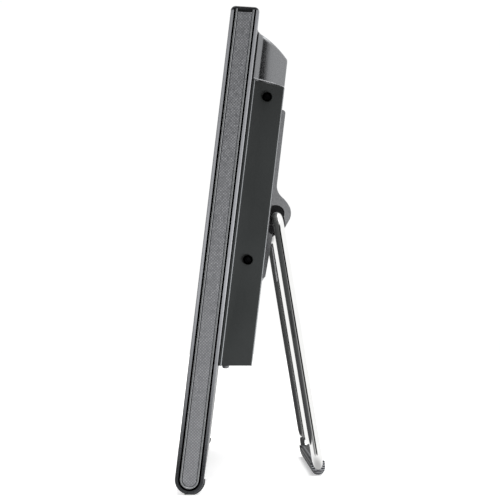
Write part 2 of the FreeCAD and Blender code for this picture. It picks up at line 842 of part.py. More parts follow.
def housing_hood():
    """The curved cap over the housing's upper end."""
    side_view = prism("hood_side_view", hood_side_profile("0"), "hood_side + 4")
    form = overlap("hood_form", side_view, hood_plan("hood_plan"))
    hollow = prism("hood_hollow", hood_side_profile("wall"), "hood_side - 9")
    return keep("housing_hood", cut("housing_hood", form, hollow))


def chassis_tray():
    """The sheet-steel tray that the boards stand on, with tabs for the side screws."""
    tray_back = "tray_front + tray_sheet"
    wide = ("-tray_half_width", "tray_half_width")
    plate = block("tray_plate", wide, ("tray_front", tray_back), ("tray_low", "tray_high"))
    tabs = []
    for low, high in both_sides("tray_half_width - tray_sheet", "tray_half_width"):
        for height in ("side_screw_low", "side_screw_high - 4"):
            upright = (height + " - tab_half_height", height + " + tab_half_height")
            tabs.append(block("tray_tab", (low, high), (tray_back, "side_screw_y + 4.7"), upright))
    cable_gap = block("cable_gap", ("-30", "30"), ("frame_depth", "20"), ("168", "184"))
    holes = []
    for side in (-1, 1):
        for height in ("side_screw_low", "side_screw_high"):
            start = ("%s * (tray_half_width - 0.5) - 2" % side, "side_screw_y", height)
            holes.append(rod("tab_hole", "x", start, "1.55", "4"))
    keep("chassis_tray", cut("chassis_tray", join("tray", plate, *tabs), cable_gap, *holes))


def main_board():
    """The board with its two large chips, on four posts."""
    rear = "board_front + board_thickness"
    tray_back = "tray_front + tray_sheet"
    board = block("board", ("board_left", "board_right"), ("board_front", rear), ("board_low", "board_high"))
    chips = [
        block("processor", ("-60", "-36"), (rear, rear + " + 2"), ("120", "144")),
        block("memory", ("-28", "-16"), (rear, rear + " + 1.2"), ("118", "138")),
    ]
    posts = [
        rod("post", "y", (x, tray_back, z), "2.5", "board_front - (%s)" % tray_back)
        for x in ("board_left + 14", "board_right - 6") for z in ("board_low + 15", "board_high - 28")
    ]
    keep("main_board", join("main_board", board, *chips, *posts))


def socket_shell(socket, mouth_words, walls):
    """A socket's case on the board's left edge with its mouth cut from the end wall."""
    seat = "(board_front + board_thickness)"
    back = "%s + %s_depth" % (seat, socket)
    left = "-housing_half_width + socket_gap"
    case = block(
        socket + "_case", (left, left + " + %s_length" % socket), (seat, back),
        (socket + "_low", socket + "_high"))
    mouth = block(
        socket + "_mouth", ("-housing_half_width", "-housing_half_width + " + mouth_words),
        (seat + " + " + walls, back + " - " + walls),
        (socket + "_low + " + walls, socket + "_high - " + walls))
    return cut(socket + "_shell", case, mouth)


def sockets():
    """Card slot, bus socket with its tongue, and the round inlet with its pin."""
    seat = "(board_front + board_thickness)"
    keep("card_slot", socket_shell("card", "24", "0.8"))
    tongue = block(
        "usb_tongue", ("-housing_half_width + 1.4", "-housing_half_width + 12"),
        (seat + " + 1.7", seat + " + 3.5"), ("usb_low + 1.4", "usb_high - 1.4"))
    keep("usb_port", join("usb_port", socket_shell("usb", "11", "0.7"), tongue))
    left = "-housing_half_width + socket_gap"
    body = block(
        "jack_body", (left, left + " + jack_length"), (seat, seat + " + jack_depth"),
        ("jack_low", "jack_high"))
    middle = (seat + " + 4.2", "(jack_low + jack_high) / 2")
    bore = rod("jack_hole", "x", ("-housing_half_width",) + middle, "jack_bore", "11")
    pin = rod("jack_pin", "x", ("-housing_half_width + 1.2",) + middle, "jack_pin", "12")
    keep("power_inlet", join("power_inlet", cut("jack_shell", body, bore), pin))


def speakers():
    """The two speaker modules behind the slots."""
    rear = "housing_rear - wall"
    middle_z = "(speaker_low + speaker_high) / 2"
    for name, (low, high) in zip(("speaker_right", "speaker_left"), both_sides("slot_x - 20", "slot_x + 20")):
        case = block(
            "speaker_case", (low, high), ("speaker_front", rear + " - 0.2"), ("speaker_low", "speaker_high"))
        middle = "((%s) + (%s)) / 2" % (low, high)
        ring = rod("speaker_hollow", "y", (middle, rear + " - 3", middle_z), "speaker_cone + 0.5", "5")
        cone_body = cone(
            "speaker_cone_body", "y", (middle, rear + " - 4", middle_z), "3", "speaker_cone", "2.6")
        keep(name, join(name, cut("speaker_frame", case, ring), cone_body))


def housing_inside():
    """What the housing holds: tray, boards, sockets, speakers, battery and display cable."""
    chassis_tray()
    main_board()
    sockets()
    speakers()
    seat = ("0", "board_front + board_thickness", "cell_z")
    keep("backup_cell", rod("backup_cell", "y", seat, "cell_radius", "cell_thickness"))
    across = ("-ribbon_half_width", "ribbon_half_width")
    layer = "ribbon_z + ribbon_sheet"
    ribbon = block("ribbon_run", across, ("ribbon_end", "board_front"), ("ribbon_z", layer))
    foot_y = ("board_front - ribbon_sheet", "board_front")
    ribbon_foot = block("ribbon_foot", across, foot_y, ("ribbon_z - 12", layer))
    tab_y = ("ribbon_end", "ribbon_end + ribbon_sheet")
    ribbon_tab = block("ribbon_tab", across, tab_y, ("ribbon_z", "ribbon_z + 14"))
    keep("display_cable", join("display_cable", ribbon, ribbon_tab, ribbon_foot))


# ---- keys ------------------------------------------------------------------------------------

def control_keys():
    """Five rectangular keys beside the hinge plate, with the small board of switches behind them."""
    names = ("key_down", "key_back", "key_enter", "key_menu", "key_up")
    board_rear = "key_board_front + 1.6"
    root = "housing_rear - wall - 1.4"
    wide = "key_half_width + key_skirt"
    switches = []
    for name, height in zip(names, key_heights()):
        low, high = "%s - key_half_height" % height, "%s + key_half_height" % height
        cap = block(
            "key_cap", ("key_x - key_half_width", "key_x + key_half_width"),
            (root, "housing_rear + key_proud"), (low, high))
        skirt = block(
            "key_skirt_block", ("key_x - (%s)" % wide, "key_x + (%s)" % wide),
            (root, "housing_rear - wall - 0.2"), (low + " - key_skirt", high + " + key_skirt"))
        keep(name, join(name, cap, skirt))
        switches.append(rod("switch", "y", ("key_x", board_rear, height), "switch_radius", "1.4"))
    board = block(
        "key_board_plate", ("key_x - key_board_half_width", "key_x + key_board_half_width"),
        ("key_board_front", board_rear), ("key_low - 6", "key_low + 4 * key_pitch + 5"))
    tray_back = "tray_front + tray_sheet"
    posts = [
        rod("key_post", "y", ("key_x", tray_back, height), "key_post_radius",
            "key_board_front - (%s)" % tray_back)
        for height in ("key_low - 4", "key_low + 4 * key_pitch + 3")
    ]
    keep("key_board", join("key_board", board, *switches, *posts))


def power_key():
    """The domed push key under the housing."""
    base = housing_low_at("power_y")
    stem = rod(
        "power_stem", "up", ("power_x", "power_y", base + " - power_proud + power_dome"), "power_radius",
        "power_proud + 3.6")
    doc.recompute()
    up = AXIS_TURN["up"].multVec(Vector(0, 0, 1))
    floor = Vector(SIZES["power_x"], SIZES["power_y"], size_of(base))
    dome = doc.addObject("Part::Ellipsoid", "power_dome_end")
    dome.setExpression("Radius1", formula("power_dome"))
    dome.setExpression("Radius2", formula("power_radius"))
    dome.setExpression("Radius3", formula("power_radius"))
    dome.Angle2 = 90
    dome.Placement = Placement(floor - up * (SIZES["power_proud"] - SIZES["power_dome"]), AXIS_TURN["up"])
    start = floor + up * SIZES["housing_floor"]
    collar = rod(
        "power_collar_ring", "up", (start.x, start.y, start.z), "power_radius + power_collar", "power_collar")
    return keep("power_key", join("power_key", stem, dome, collar))


# ---- hinge bracket ---------------------------------------------------------------------------

def bracket_outline():
    """Side outline: lower plate, thin web, hooked lip over the stand's pins, upper plate."""
    back = "housing_rear"
    return [
        (back, "bracket_low"),
        (back + " + lower_plate - 1.7", "bracket_low", "1.7"),
        (back + " + lower_plate", "bracket_low + 1.7"),
        (back + " + lower_plate + 1.4", "bracket_lower_step", "1.6"),
        (back + " + lower_plate - 0.1", "bracket_lower_step + 1.8"),
        (back + " + web_plate", "bracket_neck_low"),
        (back + " + web_plate", "bracket_neck_high"),
        (back + " + 4.4", "hinge_z + 7.68", "-5"),
        ("hinge_y + 4.43", "hinge_z + 1.4"),
        ("hinge_y + 6.3", "hinge_z - 4.3"),
        ("hinge_y + 8.3", "hinge_z + 0.2", "9.5"),
        ("hinge_y + 7.3", "hinge_z + 7.7", "20"),
        ("hinge_y + 2", "hinge_z + 13.1", "-9"),
        (back + " + upper_plate", "bracket_shoulder"),
        (back + " + upper_plate", "bracket_high - 2", "2"),
        (back + " + upper_plate - 2", "bracket_high"),
        (back, "bracket_high"),
    ]


def hinge_bracket():
    """The plate screwed to the housing, with the hooked lip that the stand hangs in."""
    body = prism("bracket_form", bracket_outline(), "bracket_half_width")
    tools = []
    for side in (-1, 1):
        for height in ("bracket_screw_low", "bracket_screw_high"):
            x = "%s * bracket_screw_x" % side
            hole, bore = (x, "housing_rear - 1", height), (x, "housing_rear + bracket_seat", height)
            tools.append(rod("bracket_hole", "y", hole, "bracket_hole_radius", "6"))
            tools.append(rod("bracket_bore", "y", bore, "bracket_bore_radius", "6"))
    return keep("hinge_bracket", cut("hinge_bracket", body, *tools))


def hinge_bushing(name, low, high):
    """Acetal liner that fills the hook's end and carries one pin of the stand."""
    back = "housing_rear + 2"
    outer = "stand_radius + running_gap + bushing_wall"
    body = doc.addObject("PartDesign::Body", name)
    sketch = sketch_on(body, "YZ_Plane", low)
    draw(sketch, [
        (back, "hinge_z - (%s)" % outer),
        ("hinge_y", "hinge_z - (%s)" % outer, outer),
        ("hinge_y + (%s) * cos(15deg)" % outer, "hinge_z + (%s) * sin(15deg)" % outer, "4.85"),
        ("hinge_y - 0.8", "hinge_z + 7.5"),
        (back, "hinge_z + 7.2"),
    ])
    circle(sketch, "hinge_y", "hinge_z", "stand_radius + running_gap")
    pad(body, sketch, "(%s) - (%s)" % (high, low), "One side")
    return keep(name, body)


def hinge_parts():
    """Bushings, and the steel plate inside the housing that the bracket's screws pull against."""
    ends = both_sides("pin_inner - 0.5", "bracket_half_width - bushing_inset")
    for name, (low, high) in zip(("hinge_bushing_right", "hinge_bushing_left"), ends):
        hinge_bushing(name, low, high)
    edge = "bracket_half_width - 5"
    plate = block(
        "backing_plate", ("-(%s)" % edge, edge), ("housing_rear - wall - 1.5", "housing_rear - wall"),
        ("bracket_screw_low - backing_margin", "bracket_screw_high + backing_margin"))
    holes = []
    for side in (-1, 1):
        for height in ("bracket_screw_low", "bracket_screw_high"):
            start = ("%s * bracket_screw_x" % side, "housing_rear - 6", height)
            holes.append(rod("backing_hole", "y", start, "bracket_hole_radius - 0.05", "8"))
    keep("hinge_backing_plate", cut("hinge_backing_plate", plate, *holes))


# ---- screws ----------------------------------------------------------------------------------

def screw(name, head_radius, head_height, shank_radius, shank_length):
    """A cross-slotted screw whose head sits on the z = 0 plane and whose shank runs down."""
    head = doc.addObject("Part::Cylinder", name + "_head")
    head.Radius, head.Height = head_radius, head_height
    doc.recompute()
    rounded = doc.addObject("Part::Fillet", name + "_crown")
    rounded.Base = head
    round_over = 0.45 * head_height
    edges = enumerate(head.Shape.Edges, start=1)
    top = [number for number, edge in edges if abs(edge.CenterOfMass.z - head_height) < 0.01]
    rounded.Edges = [(number, round_over, round_over) for number in top]
    shank = doc.addObject("Part::Cylinder", name + "_shank")
    shank.Radius, shank.Height = shank_radius, shank_length
    shank.Placement.Base = Vector(0, 0, -shank_length)
    solid = join(name + "_solid", rounded, shank)
    slot_length, slot_width, slot_depth = 1.15 * head_radius, 0.3 * head_radius, 0.5 * head_height
    slots = []
    for length, width in ((slot_length, slot_width), (slot_width, slot_length)):
        slot = doc.addObject("Part::Box", name + "_slot")
        slot.Length, slot.Width, slot.Height = length, width, head_height
        slot.Placement.Base = Vector(-length / 2, -width / 2, head_height - slot_depth)
        slots.append(slot)
    return cut(name, solid, *slots)


def screws():
    """The three sets of screws that show."""
    side = screw("side_screw", 2.8, 1.9, 1.5, 6.0)
    places = []
    for sign in (-1, 1):
        turn = Rotation(Vector(0, 1, 0), 90 * sign)
        for height in ("side_screw_low", "side_screw_high"):
            point = Vector(sign * SIZES["housing_half_width"], SIZES["side_screw_y"], SIZES[height])
            places.append(Placement(point, turn))
    keep_group("side_screws", side, places)
    rearwards = Rotation(Vector(1, 0, 0), -90)
    shell = screw("shell_screw", 2.7, 1.1, 1.25, 8.0)
    seat = SIZES["frame_depth"] - SIZES["counterbore_depth"]
    points = [Vector(x, seat, z) for x, z in shell_screw_places()]
    keep_group("shell_screws", shell, [Placement(point, rearwards) for point in points])
    bracket = screw("bracket_screw", 3.5, 2.0, 2.0, 6.0)
    seat = SIZES["housing_rear"] + 1.5
    points = [
        Vector(sign * SIZES["bracket_screw_x"], seat, SIZES[height])
        for sign in (-1, 1) for height in ("bracket_screw_low", "bracket_screw_high")
    ]
    keep_group("bracket_screws", bracket, [Placement(point, rearwards) for point in points])


# ---- stand -----------------------------------------------------------------------------------

def stand():
    """The bent steel rod: two hinge pins, two legs and the bar across the bottom."""
    side, turn, bend = "stand_half_width", "elbow_radius", "bend_radius"
    right = [
        ("pin_inner", "0"),
        ("%s - %s" % (side, turn), "0", "-" + turn),
        (side, "-" + turn),
        (side, "%s - leg_length" % bend, "-" + bend),
        ("%s - %s" % (side, bend), "-leg_length"),
    ]
    left = [
        ("%s - %s" % (bend, side), "-leg_length", "-" + bend),
        ("-" + side, "%s - leg_length" % bend),
        ("-" + side, "-" + turn, "-" + turn),
        ("%s - %s" % (turn, side), "0"),
        ("-pin_inner", "0"),
    ]
    body = tube("stand_rod", right + left, "YZ_Plane", "pin_inner", ("0", "0"), "stand_radius")
    return keep("stand", body, stand=True)


def stand_boot():
    """The rubber sleeve on the stand's bottom bar, cut flat where it meets the floor."""
    side, bend = "stand_half_width", "bend_radius"
    top = "%s - leg_length" % bend
    path = [
        (side, top, "-" + bend),
        ("%s - %s" % (side, bend), "-leg_length"),
        ("%s - %s" % (bend, side), "-leg_length", "-" + bend),
        ("-" + side, top),
    ]
    sleeve = tube(
        "boot_sleeve", path, "XY_Plane", top, (side, "0"), "boot_radius", bore="stand_radius")
    ends = [
        block("boot_end", (low, high), ("-10", "10"), ("-leg_length - 10", "40 - leg_length"))
        for low, high in both_sides("boot_half_length", "boot_half_length + 20")
    ]
    floor = doc.addObject("Part::Box", "boot_floor_cut")
    floor.Length, floor.Width, floor.Height = 200, 20, 5
    turn = Rotation(Vector(1, 0, 0), -SIZES["leg_angle"])
    corner = Vector(0, 0, -SIZES["leg_length"]) + turn.multVec(Vector(-100, -10, -5 - SIZES["boot_floor"]))
    floor.Placement = Placement(corner, turn)
    above = ("boot_top - leg_length", "40 - leg_length")
    upper = block("boot_upper_cut", ("-100", "100"), ("-10", "10"), above)
    return keep("stand_boot", cut("stand_boot", sleeve, *ends, floor, upper), stand=True)


# ---- assembly --------------------------------------------------------------------------------

def build():
    """Make every sub-part."""
    blank = unit_blank()
    inside = block(
        "unit_inside", ("recess_depth + wall - frame_width / 2", "frame_width / 2 - recess_depth - wall"),
        ("front_lip + glass_thickness", "frame_depth - wall"), ("5", "frame_height - top_wall"))
    front_bezel(blank, inside)
    rear_shell(blank, inside)
    for name, side in (("right", 1), ("left", -1)):
        side_trim("side_trim_" + name, side)
        side_inlay("side_inlay_" + name, side)
    display_stack()
    front_details()
    foot_high = "frame_width / 2 - foot_inset"
    for name, ends in zip(("right", "left"), both_sides(foot_high + " - foot_length", foot_high)):
        frame_foot("frame_foot_" + name, *ends)
    rear_housing()
    housing_hood()
    housing_inside()
    control_keys()
    power_key()
    hinge_bracket()
    hinge_parts()
    screws()
    stand()
    stand_boot()
    doc.recompute()


def check():
    """Stop if any object failed or any sub-part is not a sound shape."""
    for item in doc.Objects:
        if "Invalid" in item.State or "Error" in item.State:
            raise RuntimeError("%s (%s) failed: %s" % (item.Name, item.Label, item.State))
    for name, item in NODES.items():
        if item.Shape.isNull() or not item.Shape.isValid() or not item.Shape.Solids:
            raise RuntimeError("%s has no sound shape" % name)


def write():
    """Write each sub-part to its own file."""
    os.makedirs("parts", exist_ok=True)
    for name, item in NODES.items():
        item.Shape.exportStep("parts/%s.step" % name)
        box = item.Shape.optimalBoundingBox()
        print("%-22s solids %2d volume %10.1f  y %7.2f %7.2f  z %7.2f %7.2f" % (
            name, len(item.Shape.Solids), item.Shape.Volume, box.YMin, box.YMax, box.ZMin, box.ZMax))


build()
check()
write()
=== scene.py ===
"""A digital photo frame on its wire stand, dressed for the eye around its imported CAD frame."""

import json
import logging
import math
from dataclasses import dataclass
from enum import Enum
from typing import Any, Iterable, Optional, Sequence, Union

import bmesh
import bpy
from mathutils import Matrix, Vector


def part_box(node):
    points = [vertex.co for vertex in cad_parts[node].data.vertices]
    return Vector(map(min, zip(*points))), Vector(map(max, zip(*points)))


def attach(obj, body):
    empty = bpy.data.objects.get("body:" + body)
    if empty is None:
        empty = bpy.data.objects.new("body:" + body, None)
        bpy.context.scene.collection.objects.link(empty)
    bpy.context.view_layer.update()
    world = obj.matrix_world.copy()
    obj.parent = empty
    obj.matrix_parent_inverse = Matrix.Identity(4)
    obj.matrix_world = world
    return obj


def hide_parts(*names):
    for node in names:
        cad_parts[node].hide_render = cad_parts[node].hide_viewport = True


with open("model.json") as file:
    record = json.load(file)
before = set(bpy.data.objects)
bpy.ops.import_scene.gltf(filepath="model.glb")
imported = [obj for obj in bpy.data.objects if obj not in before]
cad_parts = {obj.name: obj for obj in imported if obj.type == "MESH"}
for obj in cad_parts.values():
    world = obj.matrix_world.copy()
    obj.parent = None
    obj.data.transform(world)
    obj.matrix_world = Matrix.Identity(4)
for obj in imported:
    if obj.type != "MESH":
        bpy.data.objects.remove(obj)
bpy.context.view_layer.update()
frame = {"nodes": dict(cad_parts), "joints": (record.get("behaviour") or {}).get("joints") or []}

MM = 0.001
BAND_WAVE = math.pi / 10.0  # metres between two bands of a wave texture of scale 1
SMOOTH_LIMIT = math.radians(32.0)
FLAT_LIMIT = math.radians(0.15)
ENDS = ((1, "right"), (-1, "left"))
log = logging.getLogger("photo_frame")

Ring = list[Vector]
Surface = tuple[list[Vector], list[list[int]]]
Flat = tuple[float, float]
Triple = tuple[float, float, float]
Inputs = dict[Any, Any]
Socket = bpy.types.NodeSocket


# ---- node trees ------------------------------------------------------------------------------


def srgb(code: str) -> tuple[float, float, float, float]:
    """Turn an sRGB hex colour into a linear one.

    Args:
        code: Six hex digits, with or without a leading hash.

    Returns:
        Red, green, blue and an alpha of 1.
    """
    digits = code.lstrip("#")
    shares = [int(digits[i:i + 2], 16) / 255.0 for i in (0, 2, 4)]
    linear = [s / 12.92 if s <= 0.04045 else ((s + 0.055) / 1.055) ** 2.4 for s in shares]
    return (linear[0], linear[1], linear[2], 1.0)


def add_node(tree: bpy.types.NodeTree, kind: str, settings: dict[str, Any],
             inputs: Inputs) -> bpy.types.Node:
    """Add a node with its settings and links.

    Args:
        tree: The tree that gets the node.
        kind: The node's type name.
        settings: Values for the node's own properties.
        inputs: A value, or a socket to link from, for each input by name or index.

    Returns:
        The new node.
    """
    node = tree.nodes.new(kind)
    for key, value in settings.items():
        setattr(node, key, value)
    for key, value in inputs.items():
        if isinstance(value, bpy.types.NodeSocket):
            tree.links.new(value, node.inputs[key])
        else:
            node.inputs[key].default_value = value
    return node


class Nodes:
    """A node tree being filled."""

    def __init__(self, tree: bpy.types.NodeTree) -> None:
        """Start on a tree."""
        self.tree = tree

    def node(self, kind: str, settings: Optional[dict[str, Any]] = None,
             inputs: Optional[Inputs] = None) -> bpy.types.Node:
        """Add a node to this tree."""
        return add_node(self.tree, kind, settings or {}, inputs or {})

    def math(self, operation: str, first: Any, second: Any = 0.0) -> Socket:
        """Return the result of a calculation with two numbers."""
        return self.node("ShaderNodeMath", {"operation": operation}, {0: first, 1: second}).outputs[0]

    def spread(self, value: Socket, low: float, high: float, start: float = 0.3, end: float = 0.7,
               curve: str = "LINEAR") -> Socket:
        """Return value, taken from start..end to low..high.

        Args:
            value: The number that is spread.
            low: The result at start.
            high: The result at end.
            start: Where the spread starts.
            end: Where it ends.
            curve: How the result goes from one to the other.

        Returns:
            The result.
        """
        return self.node("ShaderNodeMapRange", {"interpolation_type": curve}, {
            "Value": value, "From Min": start, "From Max": end, "To Min": low, "To Max": high,
        }).outputs["Result"]


class Brush(Nodes):
    """What a finish paints with: patterns on the piece's own Object coordinates, sized in millimetres."""

    def __init__(self, tree: bpy.types.NodeTree) -> None:
        """Start on a material's tree."""
        super().__init__(tree)
        self.here = self.node("ShaderNodeTexCoord").outputs["Object"]

    def place(self, turn: Triple = (0.0, 0.0, 0.0), stretch: Triple = (1.0, 1.0, 1.0)) -> Socket:
        """Return the coordinates, turned and stretched."""
        inputs = {"Vector": self.here, "Rotation": turn, "Scale": stretch}
        return self.node("ShaderNodeMapping", {}, inputs).outputs["Vector"]

    def noise(self, size_mm: float, detail: float = 2.0, where: Optional[Socket] = None) -> Socket:
        """Return noise.

        Args:
            size_mm: About how far across its lumps are.
            detail: How many finer layers it has.
            where: Its coordinates, if not the plain ones.

        Returns:
            The noise, from 0 to 1.
        """
        return self.node("ShaderNodeTexNoise", {}, {
            "Vector": where or self.here, "Scale": 1.0 / (size_mm * MM), "Detail": detail}).outputs[0]

    def bands(self, way: str, pitch_mm: float, where: Optional[Socket] = None,
              wobble: Optional[Inputs] = None) -> Socket:
        """Return a row of even bands.

        Args:
            way: The axis that they follow one another along.
            pitch_mm: The distance from one to the next.
            where: Their coordinates, if not the plain ones.
            wobble: Inputs of the wave that disturb it.

        Returns:
            The bands, from 0 to 1.
        """
        return self.node("ShaderNodeTexWave", {"bands_direction": way}, {
            "Vector": where or self.here, "Scale": BAND_WAVE / (pitch_mm * MM), **(wobble or {}),
        }).outputs["Fac"]

    def blend(self, share: Socket, first: Union[str, Socket], second: str) -> Socket:
        """Return a mix of two colours.

        Args:
            share: How much of the second one shows, from 0 to 1.
            first: A hex colour or a colour socket.
            second: A hex colour.

        Returns:
            The mixed colour.
        """
        start = srgb(first) if isinstance(first, str) else first
        return self.node("ShaderNodeMix", {"data_type": "RGBA"}, {
            0: share, 6: start, 7: srgb(second)}).outputs[2]

    def cloud(self, share: Socket, first: str, second: str) -> Socket:
        """Return a soft mix of two hex colours, shared out by noise."""
        return self.blend(self.spread(share, 0.0, 1.0), first, second)

    def relief(self, height: Socket, depth_mm: float) -> Socket:
        """Return normals for a height pattern that is depth_mm deep."""
        return self.node("ShaderNodeBump", {}, {
            "Height": height, "Distance": depth_mm * MM, "Strength": 1.0}).outputs["Normal"]


# ---- meshes ----------------------------------------------------------------------------------


def skin(rings: Sequence[Ring]) -> Surface:
    """Join closed rings of points, all of one length, into a closed surface.

    Args:
        rings: The rings in order along the piece.

    Returns:
        The points and the faces.
    """
    count = len(rings[0])
    points = [p for ring in rings for p in ring]
    faces = []
    for low in range(0, (len(rings) - 1) * count, count):
        for i in range(count):
            j = (i + 1) % count
            faces.append([low + i, low + j, low + count + j, low + count + i])
    faces.append(list(range(count))[::-1])
    faces.append([(len(rings) - 1) * count + i for i in range(count)])
    return points, faces


def tidy_mesh(mesh: bpy.types.Mesh, limit: float = SMOOTH_LIMIT, from_cad: bool = False) -> None:
    """Merge doubles and shade the mesh smooth between its sharp edges.

    Args:
        mesh: The mesh, changed in place.
        limit: The angle past which an edge stays sharp.
        from_cad: Whether it is a copy of a CAD part, whose flat faces are made whole and whose
            normals are right already.
    """
    work = bmesh.new()
    work.from_mesh(mesh)
    bmesh.ops.remove_doubles(work, verts=work.verts, dist=2e-6)
    bmesh.ops.dissolve_degenerate(work, edges=work.edges, dist=1e-7)
    if from_cad:
        bmesh.ops.dissolve_limit(work, angle_limit=FLAT_LIMIT, verts=work.verts, edges=work.edges)
    else:
        bmesh.ops.recalc_face_normals(work, faces=work.faces)
    work.to_mesh(mesh)
    work.free()
    mesh.shade_smooth()
    mesh.set_sharp_from_angle(angle=limit)


def linked(name: str, mesh: bpy.types.Mesh) -> bpy.types.Object:
    """Put a mesh in the scene as an object at the origin.

    Args:
        name: The object's name.
        mesh: Its mesh.

    Returns:
        The object.
    """
    piece = bpy.data.objects.new(name, mesh)
    bpy.context.scene.collection.objects.link(piece)
    return piece


def new_piece(name: str, points: Iterable[Vector], faces: Iterable[Sequence[int]],
              limit: float = SMOOTH_LIMIT) -> bpy.types.Object:
    """Make a piece from points in metres.

    Args:
        name: The piece's name.
        points: Its points in the row frame.
        faces: Its faces as indices of points.
        limit: The angle past which an edge stays sharp.

    Returns:
        The new object, at the origin.
    """
    mesh = bpy.data.meshes.new(name)
    mesh.from_pydata([tuple(p) for p in points], [], [list(f) for f in faces])
    tidy_mesh(mesh, limit)
    return linked(name, mesh)


def bake(piece: bpy.types.Object) -> None:
    """Turn a piece's modifiers into its own plain mesh and remove them.

    Args:
        piece: The piece, changed in place.
    """
    bpy.context.view_layer.update()
    ready = piece.evaluated_get(bpy.context.evaluated_depsgraph_get())
    mesh = bpy.data.meshes.new_from_object(ready)
    piece.modifiers.clear()
    piece.data = mesh


def dress(piece: bpy.types.Object, finish: "Finish", body: str, slot: str, *stands_for: str) -> None:
    """Give a new piece its finish and its body, and hide the CAD nodes that it stands for.

    Args:
        piece: The finished piece.
        finish: The finish that it gets.
        body: The body that it rides on.
        slot: The record's material slot; not used.
        stands_for: The CAD nodes that it replaces.
    """
    piece.data.materials.clear()
    piece.data.materials.append(finish.material())
    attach(piece, body)
    if stands_for:
        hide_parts(*stands_for)
    log.info("%s: %d faces on %s", piece.name, len(piece.data.polygons), body)


def refined(node: str, name: str, finish: "Finish", slot: str, body: str = "frame",
            limit: float = SMOOTH_LIMIT) -> None:
    """Stand in for a CAD node with a copy that is shaded smooth over its rounded edges.

    Args:
        node: The CAD node.
        name: The name of the copy.
        finish: The finish that it gets.
        slot: The record's material slot.
        body: The body that it rides on.
        limit: The angle past which an edge stays sharp.
    """
    mesh = frame["nodes"][node].data.copy()
    mesh.name = name
    tidy_mesh(mesh, limit, from_cad=True)
    piece = linked(name, mesh)
    even = piece.modifiers.new("even_normals", "WEIGHTED_NORMAL")
    even.keep_sharp = True
    bake(piece)
    dress(piece, finish, body, slot, node)


def paint(finish: "Finish", *nodes: str) -> None:
    """Give CAD nodes that stay as they are their finish.

    Args:
        finish: The finish that they get.
        nodes: The CAD nodes.
    """
    for node in nodes:
        materials = frame["nodes"][node].data.materials
        materials.clear()
        materials.append(finish.material())
        log.info("%s: kept from the CAD", node)


# ---- finishes --------------------------------------------------------------------------------


@dataclass(frozen=True)
class Finish:
    """A finish made of shader nodes."""

    name: str

    def material(self) -> bpy.types.Material:
        """Return the material, made the first time that it is asked for.

        Returns:
            The material.
        """
        found = bpy.data.materials.get(self.name)
        if found is not None:
            return found
        made = bpy.data.materials.new(self.name)
        made.use_nodes = True
        made.node_tree.nodes.clear()
        brush = Brush(made.node_tree)
        shader = brush.node("ShaderNodeBsdfPrincipled", {}, self.surface(brush))
        brush.node("ShaderNodeOutputMaterial", {}, {"Surface": shader.outputs["BSDF"]})
        return made

    def surface(self, brush: Brush) -> Inputs:
        """Return the shader's inputs: plain values, and what the brush paints."""
        raise NotImplementedError


@dataclass(frozen=True)
class MouldedPlastic(Finish):
    """ABS moulded in a spark-eroded tool: an even, very fine grain that softens every highlight."""

    colour: str
    worn: str
    roughness: float = 0.42
    grain_mm: float = 0.9  # the real grain is about 0.2 mm, too fine to show
    grain_depth_mm: float = 0.03
    sheen_spread: float = 0.06

    def surface(self, brush: Brush) -> Inputs:
        """Grain in the relief and the roughness, and a faint cloud in the colour.

        Args:
            brush: What adds the nodes.

        Returns:
            The shader's inputs.
        """
        grain = brush.noise(self.grain_mm)
        rough, spread = self.roughness, self.sheen_spread
        return {
            "Base Color": brush.cloud(brush.noise(34.0, 3.0), self.colour, self.worn),
            "Roughness": brush.spread(grain, rough - spread, rough + spread),
            "Normal": brush.relief(grain, self.grain_depth_mm),
            "IOR": 1.53,
        }


@dataclass(frozen=True)
class EndLitPlastic(MouldedPlastic):
    """The same ABS, paler on its two end faces and fading towards the floor.

    The paler tone is painted by height, and stands for the light that those faces catch.
    """

    edge: str = "#7E7F82"
    edge_from_mm: float = 199.2
    edge_soft_mm: float = 0.5
    fade_low_mm: float = 15.0
    fade_high_mm: float = 110.0
    rim_mm: float = 258.9
    rim_soft_mm: float = 0.6

    def surface(self, brush: Brush) -> Inputs:
        """The moulded surface with the paler tone laid over its ends.

        Args:
            brush: What adds the nodes.

        Returns:
            The shader's inputs.
        """
        inputs = super().surface(brush)
        across = brush.node("ShaderNodeSeparateXYZ", {}, {0: brush.here})
        far, height = brush.math("ABSOLUTE", across.outputs["X"]), across.outputs["Z"]
        share = brush.math("MULTIPLY", *(
            brush.spread(value, 0.0, 1.0, start * MM, end * MM) for value, start, end in (
                (far, self.edge_from_mm, self.edge_from_mm + self.edge_soft_mm),
                (height, self.fade_low_mm, self.fade_high_mm))))
        below_rim = brush.spread(height, 1.0, 0.0, self.rim_mm * MM, (self.rim_mm + self.rim_soft_mm) * MM)
        share = brush.math("MULTIPLY", share, below_rim)
        inputs["Base Color"] = brush.blend(share, inputs["Base Color"], self.edge)
        return inputs


@dataclass(frozen=True)
class MetallicLacquer(Finish):
    """Grey lacquer full of fine aluminium flake: bright where it turns to the light, near black away."""

    colour: str
    flake: str
    roughness: float = 0.32
    metallic: float = 0.8
    flake_mm: float = 0.6  # the real flakes are about 0.05 mm, too fine to show

    def surface(self, brush: Brush) -> Inputs:
        """Flakes in the colour and the roughness over a faint orange peel.

        Args:
            brush: What adds the nodes.

        Returns:
            The shader's inputs.
        """
        flakes = brush.noise(self.flake_mm, 1.0)
        return {
            "Base Color": brush.cloud(flakes, self.colour, self.flake),
            "Roughness": brush.spread(flakes, self.roughness - 0.04, self.roughness + 0.06),
            "Normal": brush.relief(brush.noise(3.0), 0.02),
            "Metallic": self.metallic,
        }


